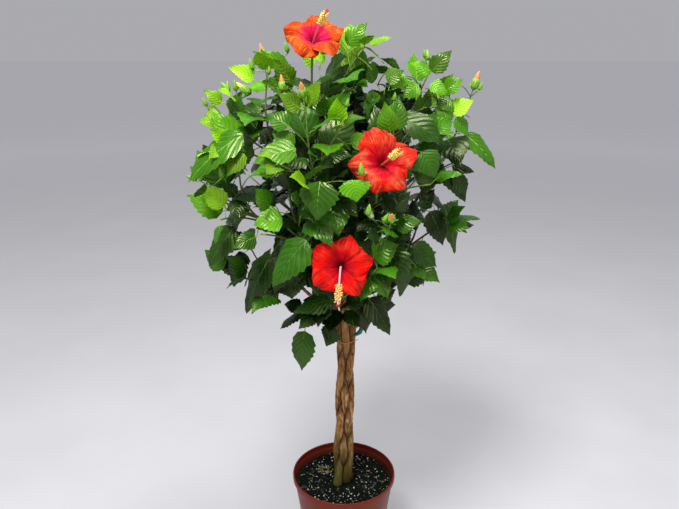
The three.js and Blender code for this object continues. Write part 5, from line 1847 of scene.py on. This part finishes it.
def model_anthers(name, column, look, random):
    """Pollen pads on short filaments round the column, and five arms with a velvety pad each."""
    pads, arms = Joined(), Joined()
    for i in range(ANTHERS["count"]):
        share = mix(ANTHERS["first"], ANTHERS["last"], i / (ANTHERS["count"] - 1))
        way = tipped(column.way(share), 1.15 + 0.3 * random(), i * GOLDEN_ANGLE)
        root = column.at(share)
        tip = root + way * ANTHERS["filament"] * (0.75 + 0.5 * random())
        pads.add(*tube([root, tip], [0.35, 0.25], 3))
        pads.add(STONE_POINTS * ANTHERS["pad"] * (0.8 + 0.4 * random()) + tip, STONE_FACES, tint=random())
    for i in range(ANTHERS["arms"]):
        way = tipped(column.way(1), 0.55, 2 * math.pi * i / ANTHERS["arms"])
        root = column.at(0.99)
        tip = root + way * ANTHERS["arm"]
        arms.add(*tube([root, tip], [0.6, 0.5], 5))
        arms.add(STONE_POINTS * ANTHERS["stigma"] + tip, STONE_FACES)
    pollen = speck_finish(f"{name}_pollen", look["anther"], "#fbe888")
    velvet = speck_finish(f"{name}_stigma", look["stigma"], "#e8583c")
    return [pads.piece(f"{name}_anthers", pollen, "petals"), arms.piece(f"{name}_stigmas", velvet, "petals")]


def model_calyx(name, bloom):
    """The cup behind a bloom: five pointed lobes over a ribbed tube."""
    throat, axis, _, _ = bloom_frame(bloom)
    foot = throat - axis * (FLOWER["throat_depth"] + FLOWER["calyx_length"] - 3)
    length, radius = FLOWER["calyx_length"] - 1, FLOWER["calyx_radius"]
    sides = 20
    rings = [(0, 0.3), (0.12, 0.62), (0.35, 0.8), (0.6, 0.9), (0.8, 1.0), (1.0, 1.05)]
    points = lathe_points(foot, axis, rings, length, radius, sides, 0.02)
    for j in range(sides):
        notch = abs((j % 4) - 2) / 2
        points[(len(rings) - 1) * sides + j] -= axis * length * 0.24 * (1 - notch)
    cup = Joined()
    cup.add(points, lathe_faces(len(rings), sides) + [tuple(reversed(range(sides)))],
            surface_places(len(rings), sides))
    return cup.piece(f"{name}_calyx", calyx_finish(f"{name}_cup", "#4f8424", "#86b43e"), "foliage_young")


# ---- Ties on the stems ----

def model_ties():
    """A thin tan tie across the fork, a bit of green tape beside it, the stub of a cut shoot, and a
    dark core of painted shade inside the braid."""
    front = strand_middle(0, 496)
    path = [front + [-15, 2, 1], front + [-9, -7.5, 0], front + [0, -9.5, -1], front + [10, -7.5, 1],
            front + [17, -2, 2], front + [24, 2, 3]]
    raffia = twig_finish("raffia", "#a47848", "#caa070")
    tie = round_limb("stem_tie", path, [0.8, 0.9, 0.9, 0.9, 0.8, 0.6], raffia)
    tape_path = [(18, -4, 506), (25, -6, 510), (31, -7, 515), (34, -7, 522), (35, -6, 530)]
    green = twig_finish("green_tape", "#0a5a4c", "#14806a")
    tape = round_limb("tie_tape", tape_path, [2.0, 3.4, 4.8, 4.4, 2.2], green)
    stub = round_limb("cut_stub", [(12, -8, 466), (16, -13, 469), (18, -16, 471)], [3.2, 2.9, 2.6],
                      twig_finish("cut_wood", "#3a3422", "#5a5236"))
    # a dark tube of painted shade down the middle of the braid
    heights = [mix(BRAID["foot"] + 4, BRAID["fork"] + 10, i / 12) for i in range(13)]
    hearts = [(strand_middle(0, height) + strand_middle(2, height)) / 2 for height in heights]
    core = round_limb("braid_core", hearts, [5.0] * 13, twig_finish("braid_painted_shade", "#120b06", "#241810", 0.9))
    return [dressed(piece, "bark") for piece in (tie, tape, stub, core)]


# ---- Staging ----

# The softboxes, in metres and watts.
LIGHTS = {
    "key_light": dict(place=(-0.6, -1.3, 2.9), target=(0, 0, 0.85), size=0.8, power=74),
    "top_light": dict(place=(0.5, 0.2, 2.9), target=(0, 0, 0.9), size=1.0, power=34),
    "front_light": dict(place=(0.9, -2.2, 1.3), target=(0, 0, 0.7), size=1.2, power=7),
}
WORLD_LIGHT = 0.56


def set_the_stage():
    bpy.ops.object.select_all(action="DESELECT")
    bpy.ops.mesh.primitive_plane_add(size=400, location=(0, 0, 0))
    floor = bpy.context.object
    floor.name = "studio_floor"
    made = Finish("studio_floor", 0.7)
    apart, _ = made.from_axis()
    grain = made.noise(made.object_place(), 3)
    # painted light: the floor grows lighter away from the pot, to fade into the backdrop
    near = made.ramp(grain, [(0.3, "#cacacc"), (0.7, "#d0d0d2")])
    floor.data.materials.append(made.done(made.blend(made.remap(apart, 1.5, 7), near, "#f8f8fa")))
    world = bpy.data.worlds.new("studio")
    bpy.context.scene.world = world
    world.use_nodes = True
    world.node_tree.nodes["Background"].inputs[0].default_value = colour("#dcdce2")
    world.node_tree.nodes["Background"].inputs[1].default_value = WORLD_LIGHT
    for name, light in LIGHTS.items():
        add_softbox(name, **light)
    camera = bpy.data.objects.new("camera", bpy.data.cameras.new("camera"))
    camera.data.sensor_width = CAMERA["sensor"]
    camera.data.lens = CAMERA["lens"]
    camera.location = spot(CAMERA["place"]) * MM
    camera.rotation_euler = (math.radians(CAMERA["pitch"]), 0, 0)
    bpy.context.collection.objects.link(camera)
    bpy.context.scene.camera = camera
    bpy.context.scene.view_settings.view_transform = "Standard"


def add_softbox(name, place, target, size, power):
    light = bpy.data.lights.new(name, "AREA")
    light.energy = power
    light.size = size
    box = bpy.data.objects.new(name, light)
    box.location = place
    box.rotation_euler = (Vector(target) - Vector(place)).to_track_quat("-Z", "Y").to_euler()
    bpy.context.collection.objects.link(box)


# ---- The whole plant ----

def grow_crown():
    limbs = limb_stretches()
    layouts = {name: lay_out_mass(mass) for name, mass in MASSES.items()}
    masses = {name: grow_mass(name, layouts, limbs) for name in MASSES}
    grow_front(masses)
    grow_finer(masses, limbs)
    seat_stalks(masses)
    return masses


set_the_stage()
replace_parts(model_pot(), "pot")
model_soil()
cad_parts["soil"].data.materials.clear()
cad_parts["soil"].data.materials.append(bpy.data.materials["potting_mix"])
perlite = scatter_on_soil(SOIL["perlite"], (0.3, 1.8), seeded_random(SEEDS["perlite"]))
perlite.piece("perlite", speck_finish("perlite_white", "#a8a89c", "#e8e8e0"), "potting_mix")
chips = scatter_on_soil(SOIL["chips"], (1.4, 4.2), seeded_random(SEEDS["chips"]), 0.35)
model_straws()
chips.piece("bark_chips", speck_finish("chip_brown", "#241e14", "#504430"), "potting_mix")
crumbs = scatter_on_soil(SOIL["crumbs"], (0.6, 2.0), seeded_random(SEEDS["crumbs"]), 0.6, SOIL["patch"],
                         SOIL["patch_radius"])
crumbs.piece("dry_crumbs", speck_finish("dry_crumb", "#5c5434", "#aca274"), "potting_mix")
for stem_name in STEMS:
    model_stem(stem_name)
bough_bark = bark_finish("bark_of_boughs")
for bough_name in BOUGHS:
    model_bough(bough_name, bough_bark)
model_ties()
crown = grow_crown()
for bloom_name in BLOOMS:
    model_bloom(bloom_name)
foliage = model_leaves(crown)
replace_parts(foliage[0], *[f"foliage_{name}" for name in MASSES])
model_twigs(crown)
model_buds(crown)
